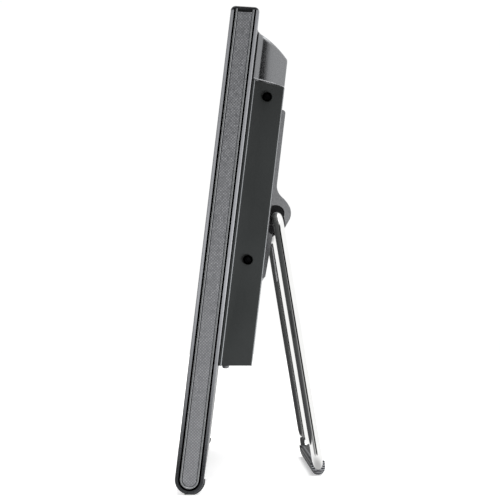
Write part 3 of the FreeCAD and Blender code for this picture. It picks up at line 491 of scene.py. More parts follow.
@dataclass(frozen=True)
class HatchedFoil(Finish):
    """Aluminium-lacquered strip rolled with a fine cross-hatch: satin, with tiny points of light painted
    into its colour as glints.
    """

    colour: str = "#95969A"
    glint: str = "#C0C1C3"
    roughness: float = 0.36
    pitch_mm: float = 1.15  # the real hatch is about 0.4 mm, too fine to show
    relief_mm: float = 0.08
    metallic: float = 0.8

    def surface(self, brush: Brush) -> Inputs:
        """Two crossed sets of ridges, broken up by noise, with painted glints on them.

        Args:
            brush: What adds the nodes.

        Returns:
            The shader's inputs.
        """
        wobble = {"Distortion": 1.2, "Detail": 1.0, "Detail Scale": 1.5}
        hatch = brush.math("MULTIPLY", *(
            brush.bands("Y", self.pitch_mm, brush.place((turn, 0.0, 0.0)), wobble)
            for turn in (math.pi / 4, -math.pi / 4)))
        grit = brush.noise(1.1, 1.0)
        both = brush.math("MULTIPLY", hatch, grit)
        return {
            # painted highlight: the glint colour on the hatch's raised points
            "Base Color": brush.blend(brush.spread(both, 0.0, 1.0, 0.05, 0.45), self.colour, self.glint),
            "Roughness": brush.spread(grit, self.roughness - 0.05, self.roughness + 0.07),
            "Normal": brush.relief(both, self.relief_mm),
            "Metallic": self.metallic,
        }


@dataclass(frozen=True)
class PolishedMetal(Finish):
    """Buffed bright metal: mirror reflections with the faintest haze of the buffing wheel."""

    colour: str
    haze: str
    roughness: float = 0.05
    lay_mm: float = 6.0

    def surface(self, brush: Brush) -> Inputs:
        """A slow change in haze along the metal.

        Args:
            brush: What adds the nodes.

        Returns:
            The shader's inputs.
        """
        cloud = brush.noise(self.lay_mm, 3.0)
        return {
            "Base Color": brush.cloud(cloud, self.colour, self.haze),
            "Roughness": brush.spread(cloud, self.roughness * 0.7, self.roughness * 1.4),
            "Metallic": 1.0,
        }


@dataclass(frozen=True)
class CastRubber(Finish):
    """Moulded nitrile rubber: matt, with a dry bloom that lifts the black a little."""

    colour: str = "#17181A"
    bloom: str = "#2B2C2E"
    roughness: float = 0.68
    specular: float = 0.4

    def surface(self, brush: Brush) -> Inputs:
        """Bloom in soft patches over a fine tooth.

        Args:
            brush: What adds the nodes.

        Returns:
            The shader's inputs.
        """
        patch = brush.noise(5.0, 4.0)
        return {
            "Base Color": brush.cloud(patch, self.colour, self.bloom),
            "Roughness": brush.spread(patch, self.roughness - 0.06, self.roughness + 0.08),
            "Normal": brush.relief(brush.noise(0.5, 1.0), 0.02),
            "Specular IOR Level": self.specular,
        }


@dataclass(frozen=True)
class RibbedRubber(CastRubber):
    """The same rubber moulded with grip ribs along the bar, with a pale painted highlight on the ribs'
    crests.
    """

    crest_highlight: str = "#85868A"
    pitch_mm: float = 1.4
    rib_mm: float = 0.3

    def surface(self, brush: Brush) -> Inputs:
        """The rubber with level bands of relief over it, and a painted highlight in the colour on their
        crests.

        Args:
            brush: What adds the nodes.

        Returns:
            The shader's inputs.
        """
        inputs = super().surface(brush)
        ribs = brush.bands("Z", self.pitch_mm)
        # painted highlight: the crests of the ribs take the pale colour
        crest_highlights = brush.spread(ribs, 0.0, 1.0, 0.45, 0.95)
        inputs["Base Color"] = brush.blend(crest_highlights, inputs["Base Color"], self.crest_highlight)
        inputs["Normal"] = brush.relief(ribs, self.rib_mm)
        return inputs


@dataclass(frozen=True)
class PlatedSteel(Finish):
    """Plated or blackened steel: a dull metal with drawn marks and uneven sheen."""

    colour: str
    mark: str
    roughness: float = 0.38
    metallic: float = 1.0

    def surface(self, brush: Brush) -> Inputs:
        """Fine drawn marks across a slow blotch.

        Args:
            brush: What adds the nodes.

        Returns:
            The shader's inputs.
        """
        drawn = brush.noise(0.5, 2.0, brush.place(stretch=(0.12, 1.0, 1.0)))
        return {
            "Base Color": brush.cloud(brush.noise(7.0, 3.0), self.colour, self.mark),
            "Roughness": brush.spread(drawn, self.roughness - 0.08, self.roughness + 0.1),
            "Normal": brush.relief(drawn, 0.008),
            "Metallic": self.metallic,
        }


@dataclass(frozen=True)
class ClearGlass(Finish):
    """Float glass: clear and hard, with a trace of handling marks that only shows at a glance."""

    tint: str = "#F1F6F5"
    smear: float = 0.03

    def surface(self, brush: Brush) -> Inputs:
        """Handling marks in the roughness.

        Args:
            brush: What adds the nodes.

        Returns:
            The shader's inputs.
        """
        return {
            "Base Color": srgb(self.tint),
            "Roughness": brush.spread(brush.noise(42.0, 5.0), 0.0, self.smear, 0.45, 0.75),
            "Transmission Weight": 1.0,
            "IOR": 1.5,
        }


@dataclass(frozen=True)
class DarkPanel(Finish):
    """Polariser film over a switched-off liquid crystal cell: deep grey with a soft haze."""

    colour: str
    cast: str
    roughness: float = 0.22
    cell_mm: float = 1.0  # the real cells are about 0.27 mm, too fine to show

    def surface(self, brush: Brush) -> Inputs:
        """Rows of cells and a slow cast.

        Args:
            brush: What adds the nodes.

        Returns:
            The shader's inputs.
        """
        rows = brush.bands("X", self.cell_mm)
        return {
            "Base Color": brush.blend(brush.noise(90.0), self.colour, self.cast),
            "Roughness": brush.spread(rows, self.roughness, self.roughness + 0.05),
            "IOR": 1.5,
        }


@dataclass(frozen=True)
class WovenScrim(Finish):
    """Black scrim cloth glued behind a grille: an open plain weave with matt threads."""

    colour: str = "#0C0C0D"
    thread: str = "#2A2A2C"
    pitch_mm: float = 0.8

    def surface(self, brush: Brush) -> Inputs:
        """Two sets of threads, laid over each other.

        Args:
            brush: What adds the nodes.

        Returns:
            The shader's inputs.
        """
        weave = brush.math("MAXIMUM", *(brush.bands(way, self.pitch_mm) for way in ("X", "Z")))
        return {
            "Base Color": brush.blend(weave, self.colour, self.thread),
            "Normal": brush.relief(weave, 0.15),
            "Roughness": 0.85,
        }


@dataclass(frozen=True)
class LitPaper(Finish):
    """White floor paper lit a little from below, so that only the deepest shadows show."""

    colour: str = "#F6F6F6"
    fibre: str = "#FAFAFA"
    glow: float = 0.5

    def surface(self, brush: Brush) -> Inputs:
        """Faint fibres in the colour and an even glow.

        Args:
            brush: What adds the nodes.

        Returns:
            The shader's inputs.
        """
        return {
            "Base Color": brush.cloud(brush.noise(8.0, 3.0), self.colour, self.fibre),
            "Roughness": 0.9,
            "Emission Color": srgb(self.colour),
            "Emission Strength": self.glow,
        }


@dataclass(frozen=True)
class SolderResist(Finish):
    """Green solder resist over copper: glossy, with the tracks showing as paler lines."""

    colour: str = "#0E4A2A"
    track: str = "#1F6B42"
    pitch_mm: float = 1.6

    def surface(self, brush: Brush) -> Inputs:
        """Tracks as bricks of two greens.

        Args:
            brush: What adds the nodes.

        Returns:
            The shader's inputs.
        """
        tracks = brush.node("ShaderNodeTexBrick", {}, {
            "Vector": brush.place((math.pi / 2, 0.0, 0.0)), "Scale": 1.0 / (self.pitch_mm * MM),
            "Color1": srgb(self.colour), "Color2": srgb(self.track), "Mortar": srgb(self.colour)})
        return {"Base Color": tracks.outputs["Color"], "Roughness": 0.28}


BEZEL_ABS = EndLitPlastic("charcoal_abs_satin", "#202123", "#27282A", roughness=0.3)
HOUSING_ABS = MouldedPlastic("black_abs_fine_grain", "#212323", "#272929", roughness=0.5)
# pale grey painted highlight for the flange's edge and the housing's rear corners
EDGE_HIGHLIGHT_ABS = MouldedPlastic("abs_painted_edge_highlight", "#747678", "#7D7F81", roughness=0.34)
HOOD_LACQUER = MetallicLacquer("grey_metallic_lacquer", "#7F8082", "#8B8C8E", 0.22, 0.96)
# bright lacquer painted highlight along the hood's lower rim
RIM_HIGHLIGHT_LACQUER = MetallicLacquer("lacquer_painted_rim_highlight", "#A4A5A7", "#B0B1B3", 0.3, 0.6)
BRACKET_LACQUER = MetallicLacquer("light_metallic_lacquer", "#8F9092", "#9D9EA0", 0.36, 0.6)
KEY_ABS = MouldedPlastic("key_abs_gloss", "#1C1D1F", "#232426", roughness=0.24, grain_depth_mm=0.006)
KNOB_ABS = MouldedPlastic("knob_abs_satin", "#4C4D4F", "#58595B", roughness=0.3, grain_depth_mm=0.006)
KEY_MARK = MouldedPlastic("key_mark_paint", "#B9BBBC", "#C6C7C8", roughness=0.45)
ACETAL = MouldedPlastic("black_acetal", "#08080A", "#0D0D0F", roughness=0.42, grain_depth_mm=0.01)
WHITE_PBT = MouldedPlastic("white_pbt", "#C9C9C6", "#D3D3D0", roughness=0.5)
CABLE_FILM = MouldedPlastic("polyimide_film", "#B9AE8F", "#C7BC9E", roughness=0.3)
STRIP_FOIL = HatchedFoil("hatched_aluminium_strip")
BRIGHT_RAIL = PolishedMetal("bright_dipped_aluminium", "#CBCDCF", "#C1C3C5", roughness=0.22)
CHROME = PolishedMetal("chrome_plated_steel", "#F8F8F7", "#F3F3F2", roughness=0.03)
GOLD = PolishedMetal("gold_flashed_contact", "#E3B96A", "#D8AE5E", roughness=0.2)
RUBBER = CastRubber("nitrile_rubber")
RIBBED_RUBBER = RibbedRubber("ribbed_rubber", "#0E0F10", "#17181A", roughness=0.6)
# near-black painted shade laid in the grooves round the side rails
GROOVE_SHADE = CastRubber("groove_painted_shade", "#030304", "#060607", roughness=0.9, specular=0.05)
BLACK_OXIDE = PlatedSteel("black_oxide_steel", "#161719", "#222325", roughness=0.34, metallic=0.9)
ZINC = PlatedSteel("zinc_plated_steel", "#A5A8AB", "#8F9296", roughness=0.32)
GLASS = ClearGlass("float_glass")
INK = MouldedPlastic("screen_printed_ink", "#060607", "#0A0A0B", roughness=0.3, grain_depth_mm=0.004)
LENS = MouldedPlastic("clear_acrylic_lens", "#2E5F9E", "#3A6FB2", roughness=0.12, grain_depth_mm=0.002)
PANEL = DarkPanel("liquid_crystal_panel", "#0A0B0C", "#0D0F11")
SCRIM = WovenScrim("speaker_scrim")
BOARD = SolderResist("green_solder_resist")
FLOOR_PAPER = LitPaper("lit_floor_paper")


# ---- frames of reference ---------------------------------------------------------------------


@dataclass(frozen=True)
class LeanFrame:
    """The leaning display unit's own axes: x across, v back from its front face, w up its height."""

    lean: float
    shift: float
    lift: float
    glass_front_mm: float = 1.0
    glass_low_mm: float = 13.8

    @classmethod
    def from_cad(cls) -> "LeanFrame":
        """Read the lean from the keys' travel and the place from the cover glass.

        Returns:
            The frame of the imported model.
        """
        travel = next(j["axis"] for j in frame["joints"] if j["name"] == "key_up_travel")
        lean = math.atan2(travel[2], -travel[1])
        c, s = math.cos(lean), math.sin(lean)
        corners = [v.co for v in frame["nodes"]["cover_glass"].data.vertices]
        back = min(p.y * c - p.z * s for p in corners) - cls.glass_front_mm * MM
        up = min(p.y * s + p.z * c for p in corners) - cls.glass_low_mm * MM
        return cls(lean, back * c + up * s, up * c - back * s)

    def at(self, x: float, v: float, w: float) -> Vector:
        """Return the row-frame point of a place on the leaning unit.

        Args:
            x: Millimetres across.
            v: Millimetres back.
            w: Millimetres up.

        Returns:
            The point in metres.
        """
        c, s = math.cos(self.lean), math.sin(self.lean)
        return Vector((x * MM, self.shift + (v * c + w * s) * MM, self.lift + (w * c - v * s) * MM))

    def along(self, x: float, v: float, w: float) -> Vector:
        """Return the row-frame direction of one on the leaning unit."""
        return (self.at(x, v, w) - self.at(0.0, 0.0, 0.0)).normalized()


@dataclass(frozen=True)
class StandFrame:
    """The stand's own axes at rest: its pivot line is x, and its legs run down -z."""

    pivot: Vector
    swing: float

    @classmethod
    def from_cad(cls, leg_mm: float, rod_mm: float) -> "StandFrame":
        """Read the pivot from the hinge and the leg's angle from how far back the rod reaches.

        Args:
            leg_mm: Distance from the pivot line to the bottom bar.
            rod_mm: The rod's radius.

        Returns:
            The stand's frame.
        """
        pivot = Vector(next(j["pos_m"] for j in frame["joints"] if j["name"] == "stand_hinge"))
        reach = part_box("stand")[1].y - rod_mm * MM - pivot.y
        return cls(pivot, math.asin(reach / (leg_mm * MM)))

    def at(self, x: float, y: float, z: float) -> Vector:
        """Return the row-frame point of local millimetres."""
        return self.pivot + Matrix.Rotation(self.swing, 3, "X") @ (Vector((x, y, z)) * MM)


LEAN = LeanFrame.from_cad()
REARWARD = LEAN.along(0.0, 1.0, 0.0)


def arc(start: Flat, end: Flat, radius: float, left: bool, steps: int = 8) -> list[Flat]:
    """Return points of an arc between two points of a flat outline.

    Args:
        start: Where the arc starts; not in the result.
        end: Where it ends; the last point of the result.
        radius: Its radius.
        left: Whether it bulges to the left of the way from start to end.
        steps: How many points it gives.

    Returns:
        The points after start.
    """
    a, b = Vector(start), Vector(end)
    chord = b - a
    side = Vector((-chord.y, chord.x)).normalized() * (1.0 if left else -1.0)
    depth = math.sqrt(max(radius ** 2 - (chord.length / 2) ** 2, 0.0))
    centre = (a + b) / 2 - side * depth
    first, last = a - centre, b - centre
    sweep = first.angle_signed(last)
    points = []
    for i in range(1, steps + 1):
        turn = -sweep * i / steps
        points.append((centre.x + first.x * math.cos(turn) - first.y * math.sin(turn),
                       centre.y + first.x * math.sin(turn) + first.y * math.cos(turn)))
    return points


def value_at(outline: Sequence[Flat], key: float) -> float:
    """Return an outline's second number where its first one is key.

    Args:
        outline: Points in rising order of their first number.
        key: The first number that is looked for.

    Returns:
        The second number there, or at the nearest end.
    """
    for (x0, y0), (x1, y1) in zip(outline, outline[1:]):
        if x0 <= key <= x1 and x1 > x0:
            return y0 + (y1 - y0) * (key - x0) / (x1 - x0)
    return outline[0][1] if key < outline[0][0] else outline[-1][1]


# ---- geometry node trees ---------------------------------------------------------------------


class NodeTool(Nodes):
    """A Geometry Nodes tree with named inputs, baked into a plain mesh."""

    def __init__(self, name: str, sizes: dict[str, Any]) -> None:
        """Make the tree and its inputs.

        Args:
            name: The tree's name.
            sizes: The value of each named input.
        """
        super().__init__(bpy.data.node_groups.new(name, "GeometryNodeTree"))
        face = self.tree.interface
        for way in ("INPUT", "OUTPUT"):
            face.new_socket(name="Geometry", in_out=way, socket_type="NodeSocketGeometry")
        self.keys: dict[str, str] = {}
        self.sizes = sizes
        for label, value in sizes.items():
            kind = "Int" if isinstance(value, int) else "Vector" if isinstance(value, tuple) else "Float"
            socket = face.new_socket(name=label, in_out="INPUT", socket_type="NodeSocket" + kind)
            self.keys[label] = socket.identifier
        self.given = self.node("NodeGroupInput")

    def size(self, label: str) -> Socket:
        """Return the socket of a named input."""
        return self.given.outputs[label]

    def raised(self, part: bpy.types.Node, height: Any) -> Socket:
        """Move a mesh up.

        Args:
            part: The node that makes it.
            height: How far up it goes.

        Returns:
            The moved mesh.
        """
        up = self.node("ShaderNodeCombineXYZ", {}, {"Z": height}).outputs[0]
        return self.node("GeometryNodeTransform", {}, {
            "Geometry": part.outputs[0], "Translation": up}).outputs[0]

    def merged(self, operation: str, parts: Sequence[Socket], inputs: Optional[Inputs] = None) -> Socket:
        """Return a boolean of meshes.

        Args:
            operation: UNION or DIFFERENCE.
            parts: The meshes that are joined or taken away.
            inputs: The mesh that they are taken from, as input 0.

        Returns:
            The resulting mesh.
        """
        result = self.node("GeometryNodeMeshBoolean", {"operation": operation}, inputs)
        for part in parts:
            self.tree.links.new(part, result.inputs[1])
        return result.outputs[0]

    def scatter(self, points: Socket, thing: Socket, turns: Any = (0.0, 0.0, 0.0)) -> Socket:
        """Return instances of a thing on points."""
        return self.node("GeometryNodeInstanceOnPoints", {}, {
            "Points": points, "Instance": thing, "Rotation": turns}).outputs[0]

    def close(self, geometry: Socket, finish: Finish) -> None:
        """End the tree in Realize Instances and Set Material.

        Args:
            geometry: What the tree has made.
            finish: The finish that it gets.
        """
        real = self.node("GeometryNodeRealizeInstances", {}, {"Geometry": geometry})
        painted = self.node("GeometryNodeSetMaterial", {}, {
            "Geometry": real.outputs[0], "Material": finish.material()})
        self.node("NodeGroupOutput", {}, {"Geometry": painted.outputs[0]})

    def run(self, name: str, points: Sequence[Vector], facing: Sequence[Vector]) -> bpy.types.Object:
        """Run the tree on a set of points and bake the result.

        Args:
            name: The piece's name.
            points: Where the repeated thing goes.
            facing: The way each one faces.

        Returns:
            The baked piece.
        """
        mesh = bpy.data.meshes.new(name)
        mesh.from_pydata([tuple(p) for p in points], [], [])
        ways = mesh.attributes.new("facing", "FLOAT_VECTOR", "POINT")
        for i, way in enumerate(facing):
            ways.data[i].vector = way
        piece = linked(name, mesh)
        modifier = piece.modifiers.new(name, "NODES")
        modifier.node_group = self.tree
        for label, value in self.sizes.items():
            modifier[self.keys[label]] = value
        bake(piece)
        tidy_mesh(piece.data)
        return piece


def screws(name: str, node: str, spots: Sequence[Vector], facing: Sequence[Vector], diameter: float,
           height: float, sides: int = 40) -> None:
    """Put a cross-recessed pan head on every spot, each turned its own way.

    Args:
        name: The piece's name.
        node: The CAD node that it stands for.
        spots: Where the heads sit.
        facing: The way each one faces.
        diameter: A head's diameter in millimetres.
        height: A head's height in millimetres.
        sides: How many sides a head's circle has.
    """
    tool = NodeTool(name, {
        "Head Diameter": diameter * MM, "Head Height": height * MM, "Rim": height * 0.42 * MM,
        "Recess Width": diameter * 0.15 * MM, "Recess Length": diameter * 0.62 * MM,
        "Recess Depth": height * 0.6 * MM, "Seed": 7})
    radius = tool.math("DIVIDE", tool.size("Head Diameter"), 2.0)
    skirt = tool.math("SUBTRACT", tool.size("Head Height"), tool.size("Rim"))
    barrel = tool.node("GeometryNodeMeshCylinder", {}, {
        "Vertices": sides, "Radius": radius, "Depth": skirt})
    parts = [tool.raised(barrel, tool.math("DIVIDE", skirt, 2.0))]
    low_radius, low_height = radius, skirt
    for share, narrow in ((0.45, 0.93), (0.8, 0.8), (1.0, 0.62)):
        top_radius = tool.math("MULTIPLY", radius, narrow)
        top_height = tool.math("ADD", skirt, tool.math("MULTIPLY", tool.size("Rim"), share))
        ring = tool.node("GeometryNodeMeshCone", {}, {
            "Vertices": sides, "Radius Top": top_radius, "Radius Bottom": low_radius,
            "Depth": tool.math("SUBTRACT", top_height, low_height)})
        parts.append(tool.raised(ring, low_height))
        low_radius, low_height = top_radius, top_height
    slots = []
    for along, across in (("X", "Y"), ("Y", "X")):
        block = tool.node("ShaderNodeCombineXYZ", {}, {
            along: tool.size("Recess Length"), across: tool.size("Recess Width"),
            "Z": tool.math("MULTIPLY", tool.size("Recess Depth"), 2.0)})
        slot = tool.node("GeometryNodeMeshCube", {}, {"Size": block.outputs[0]})
        slots.append(tool.raised(slot, tool.size("Head Height")))
    drive = tool.merged("DIFFERENCE", slots, {0: tool.merged("UNION", parts)})
    way = tool.node("GeometryNodeInputNamedAttribute", {"data_type": "FLOAT_VECTOR"}, {0: "facing"})
    aimed = tool.node("FunctionNodeAlignRotationToVector", {"axis": "Z"}, {"Vector": way.outputs[0]})
    spin = tool.node("FunctionNodeRandomValue", {"data_type": "FLOAT"}, {
        2: 0.2, 3: 1.4, 8: tool.size("Seed")})
    spun = tool.node("FunctionNodeAxisAngleToRotation", {}, {"Angle": spin.outputs[1]})
    turned = tool.node("FunctionNodeRotateRotation", {"rotation_space": "LOCAL"}, {
        0: aimed.outputs[0], 1: spun.outputs[0]})
    tool.close(tool.scatter(tool.size("Geometry"), drive, turned.outputs[0]), BLACK_OXIDE)
    dress(tool.run(name, spots, facing), BLACK_OXIDE, "frame", "black_screws", node)


def contacts(name: str, spot: Vector, finger: Triple, count: int, pitch: float = 2.5) -> None:
    """Lay a row of gold contact fingers up the unit from one spot.

    Args:
        name: The piece's name.
        spot: The middle of the first finger.
        finger: A finger's size in millimetres.
        count: How many fingers the row has.
        pitch: Millimetres from one finger to the next.
    """
    step = LEAN.at(0.0, 0.0, pitch) - LEAN.at(0.0, 0.0, 0.0)
    tool = NodeTool(name, {"Count": count, "Finger": tuple(s * MM for s in finger), "Step": tuple(step)})
    row = tool.node("GeometryNodeMeshLine", {"mode": "OFFSET"}, {
        "Count": tool.size("Count"), "Offset": tool.size("Step")})
    strip = tool.node("GeometryNodeMeshCube", {}, {"Size": tool.size("Finger")})
    strip = tool.node("GeometryNodeTransform", {}, {
        "Geometry": strip.outputs[0], "Rotation": (-LEAN.lean, 0.0, 0.0)})
    fingers = tool.scatter(row.outputs[0], strip.outputs[0])
    tool.close(tool.scatter(tool.size("Geometry"), fingers), GOLD)
    dress(tool.run(name, [spot], [Vector((0.0, 0.0, 1.0))]), GOLD, "frame", "steel_sheet")


# ---- sub-assemblies --------------------------------------------------------------------------


@dataclass
class DisplayUnit:
    """The flat display unit: its two shells, the glass, what lies behind it and its screws."""

    screw_x: float = 193.3
    screw_w: Triple = (20.0, 131.0, 246.0)
    screw_v: float = 14.2
    screw_head: float = 5.4
    screw_height: float = 1.1

    def build(self) -> None:
        """Build and dress every piece of the unit."""
        refined("front_bezel", "bezel_shell", BEZEL_ABS, "shell_plastic")
        refined("rear_shell", "rear_cover", BEZEL_ABS, "shell_plastic")
        for _, end in ENDS:
            refined("frame_foot_" + end, "foot_pad_" + end, RUBBER, "rubber")
        refined("status_lens", "status_light", LENS, "lens")
        paint(GLASS, "cover_glass")
        paint(INK, "display_mask", "remote_window")
        paint(PANEL, "lcd_panel")
        paint(WHITE_PBT, "backlight_unit")
        paint(ZINC, "panel_bracket_right", "panel_bracket_left")
        spots = [LEAN.at(x, self.screw_v, w) for x in (-self.screw_x, self.screw_x) for w in self.screw_w]
        screws("shell_screw_heads", "shell_screws", spots, [REARWARD] * len(spots),
               self.screw_head, self.screw_height)


@dataclass
class SideTrim:
    """The recess in each end of the unit: a bright rail bent into a U round a hatched strip."""

    middle: float = 7.7
    floor: float = 198.6
    recess_radius: float = 6.0
    recess_depth: float = 1.38
    recess_top: float = 260.6
    rail_outer: float = 5.0
    rail_inner: float = 4.05
    rail_turn: float = 0.36
    rail_height: float = 1.3
    strip_radius: float = 3.75
    strip_top: float = 259.0
    strip_thickness: float = 1.0
    edge: float = 0.16
    # thickness and drop of the near-black painted-shade sheets in the grooves
    shade_sheet: float = 0.1
    top_slope: float = 0.056
    shade_sheet_drop: float = 0.05

    def u_line(self, radius: float, drop: float, steps: int = 32) -> list[Flat]:
        """Return a U of that radius in the end's plane, from one top to the other.

        Args:
            radius: Distance from the unit's middle line.
            drop: Height of both ends before the top's own rise towards the rear.
            steps: Points round the bottom.

        Returns:
            Points (v, w).
        """
        front, rear = self.middle - radius, self.middle + radius
        line = [(front, drop + self.top_slope * front)]
        for i in range(steps + 1):
            turn = math.pi + math.pi * i / steps
            line.append((self.middle + radius * math.cos(turn), self.middle + radius * math.sin(turn)))
        return line + [(rear, drop + self.top_slope * rear)]

    def sweep(self, side: int, profile: Sequence[Flat], top: float) -> Surface:
        """Carry a closed profile round the U.

        Args:
            side: 1 for the right end, -1 for the left.
            profile: Points (distance from the middle line, rise over the recess's floor).
            top: Height of both ends of the U.

        Returns:
            The points and faces.
        """
        tracks = [self.u_line(out, top) for out, _ in profile]
        rings = []
        for i in range(len(tracks[0])):
            rings.append([LEAN.at(side * (self.floor + rise), *track[i])
                          for track, (_, rise) in zip(tracks, profile)])
        return skin(rings)

    def rail_profile(self) -> list[Flat]:
        """Return the rail's section: upright sides under a flat top with rounded shoulders.

        Returns:
            Points (distance from the middle line, rise over the recess's floor).
        """
        low, high, turn = self.rail_inner, self.rail_outer, self.rail_turn
        shoulder = self.rail_height - turn
        profile = [(low, 0.0), (low, shoulder)]
        profile += arc(profile[-1], (low + turn, self.rail_height), turn, True, 4)
        profile += [(high - turn, self.rail_height)]
        profile += arc(profile[-1], (high, shoulder), turn, True, 4)
        return profile + [(high, 0.0)]

    def shade_sheet_profiles(self) -> list[list[Flat]]:
        """Return the sections of the near-black sheets laid in the grooves as painted shade: an angle in
        the outer groove, a flat in the inner one.

        Returns:
            The two sections, as in rail_profile.
        """
        thin, deep, wall = self.shade_sheet, self.recess_depth, self.recess_radius
        outer = [(self.rail_outer, 0.0), (self.rail_outer, thin), (wall - thin, thin),
                 (wall - thin, deep), (wall, deep), (wall, 0.0)]
        inner = [(self.strip_radius, 0.0), (self.strip_radius, thin), (self.rail_inner, thin),
                 (self.rail_inner, 0.0)]
        return [outer, inner]

    def strip(self, side: int) -> Surface:
        """Return one strip with its edges broken.

        Args:
            side: 1 for the right end, -1 for the left.

        Returns:
            The points and faces.
        """
        rings = []
        thick = self.strip_thickness
        for inset, rise in ((0.0, 0.0), (0.0, thick - self.edge), (self.edge, thick)):
            line = self.u_line(self.strip_radius - inset, self.strip_top - inset)
            rings.append([LEAN.at(side * (self.floor + rise), v, w) for v, w in line])
        return skin(rings)

    def build(self) -> None:
        """Build both ends."""
        for side, label in ENDS:
            swept = self.sweep(side, self.rail_profile(), self.recess_top)
            rail = new_piece("bright_rail_" + label, *swept)
            dress(rail, BRIGHT_RAIL, "frame", "polished_rail", "side_trim_" + label)
            strip = new_piece("hatched_strip_" + label, *self.strip(side))
            dress(strip, STRIP_FOIL, "frame", "strip_finish", "side_inlay_" + label)
            # painted shade: near-black sheets darken both grooves round each rail
            for profile, part in zip(self.shade_sheet_profiles(), ("outer", "inner")):
                shade_sheet = new_piece("groove_shade_sheet_%s_%s" % (part, label),
                                  *self.sweep(side, profile, self.recess_top - self.shade_sheet_drop))
                dress(shade_sheet, GROOVE_SHADE, "frame", "rubber")


@dataclass
class Housing:
    """The box behind the unit: its black tub, the grey hood over it, sockets and screws."""

    hood_front: float = 15.4
    seam: float = 231.3
    seam_drop: float = 0.12
    crown_round: float = 2.4
    step_in: float = 1.2
    step_up: float = 0.55
    rim_break: float = 0.35
    screw_v: float = 25.3
    screw_w: Flat = (129.4, 222.3)
    wall_x: float = 150.0
    bead_v: float = 17.05
    bead_radius: float = 0.34
    rim_radius: float = 0.28
    bead_low: float = 68.6
    corner_x: float = 149.58
    corner_v: float = 34.08
    corner_radius: float = 0.3
    corner_gap_top: float = 3.0
    corner_gap_low: float = 1.6
    screw_head: float = 5.6
    screw_height: float = 1.9

    def crown(self) -> list[Flat]:
        """Return the hood's top line.

        Returns:
            Points (v, w), front to back.
        """
        line = [(self.hood_front, 260.6)]
        line += arc(line[-1], (17.2, 257.9), 4.0, False, 5)
        line += [(19.5, 256.8)]
        line += arc(line[-1], (33.7, 246.3), 58.0, True, 14)
        line += arc(line[-1], (34.4, 245.1), 1.6, True, 5)
        return line

    def plan(self) -> list[Flat]:
        """Return the hood's side line.

        Returns:
            Points (v, x), front to back.
        """
        line = [(151.0, self.hood_front), (151.0, 16.2), (152.4, 16.4)]
        line += arc(line[-1], (150.4, 19.2), 5.0, True, 8)
        line += arc(line[-1], (146.4, 33.0), 32.0, False, 10)
        line += arc(line[-1], (144.8, 34.4), 1.8, False, 5)
        return [(v, x) for x, v in line]

    def section(self, v: float, crown: Sequence[Flat], plan: Sequence[Flat]) -> Ring:
        """Return the hood's cross-section, with its stepped rim and rounded shoulders.

        Args:
            v: Its depth.
            crown: The hood's top line.
            plan: The hood's side line.

        Returns:
            The ring of points.
        """
        half, top = value_at(plan, v), value_at(crown, v)
        low = self.seam - self.seam_drop * (v - self.hood_front)
        turn, rim = self.crown_round, low + self.step_up
        side = [(half - self.step_in, low), (half - self.step_in, rim), (half - self.rim_break, rim),
                (half, rim + self.rim_break), (half, top - turn)]
        side += arc((half, top - turn), (half - turn, top), turn, False, 7)
        return [LEAN.at(x, v, w) for x, w in side] + [LEAN.at(-x, v, w) for x, w in reversed(side)]

    def hood(self) -> None:
        """Loft the hood through its cross-sections."""
        crown, plan = self.crown(), self.plan()
        depths = sorted({round(v, 4) for v, _ in crown + plan})
        rings = [self.section(v, crown, plan) for v in depths]
        hood = new_piece("rear_hood", *skin(rings), limit=math.radians(40.0))
        dress(hood, HOOD_LACQUER, "frame", "hood_plastic", "housing_hood")

    def bead(self, name: str, finish: Finish, slot: str, radius: float, rise: Triple,
             path: Sequence[tuple[Triple, Triple]]) -> None:
        """Sweep a fine round bead along a path round the housing.

        Args:
            name: The piece's name.
            finish: Its finish.
            slot: The record's material slot.
            radius: Its radius.
            rise: The way across the bead that stays the same all along it.
            path: Points (x, v, w) of its middle line, each with its outward way.
        """
        rings = []
        for spot, out in path:
            ring = []
            for i in range(12):
                turn = math.tau * i / 12
                ring.append(LEAN.at(*(s + radius * (o * math.cos(turn) + r * math.sin(turn))
                                      for s, o, r in zip(spot, out, rise))))
            rings.append(ring)
        dress(new_piece(name, *skin(rings)), finish, "frame", slot)

    def beads(self) -> None:
        """Lay the pale beads whose colour is painted highlight: round the flange, the fine ones on the rear
        corners and the hood's rim.
        """
        side, low, v = self.wall_x, self.bead_low, self.bead_v
        # painted highlight: a pale bead where the flange's edge catches the light
        self.bead("flange_highlight_bead", EDGE_HIGHLIGHT_ABS, "housing_plastic", self.bead_radius, (0.0, 1.0, 0.0), [
            ((side, v, self.seam), (1.0, 0.0, 0.0)), ((side, v, low), (1.0, 0.0, -1.0)),
            ((-side, v, low), (-1.0, 0.0, -1.0)), ((-side, v, self.seam), (-1.0, 0.0, 0.0))])
        # painted highlight down each rear corner of the housing
        for sign, label in ENDS:
            out = (0.7 * sign, 0.7, 0.0)
            path = [((sign * self.corner_x, self.corner_v, w), out)
                    for w in (self.seam - self.corner_gap_top, low + self.corner_gap_low)]
            self.bead("corner_highlight_bead_" + label, EDGE_HIGHLIGHT_ABS, "housing_plastic", self.corner_radius,
                      (-0.7 * sign, 0.7, 0.0), path)
        # painted highlight: a bright bead along the hood's lower rim
        rim = []
        for depth, half in self.plan()[2:]:
            height = self.seam - self.seam_drop * (depth - self.hood_front) + self.step_up + self.rim_break
            rim.append(((half - 0.1, depth - 0.1, height), (1.0, 0.2, 0.0)))
        rim += [((-x, v, w), (-out_x, out_v, 0.0)) for (x, v, w), (out_x, out_v, _) in reversed(rim)]
        self.bead("hood_rim_highlight_bead", RIM_HIGHLIGHT_LACQUER, "hood_plastic", self.rim_radius, (0.0, 0.0, 1.0), rim)

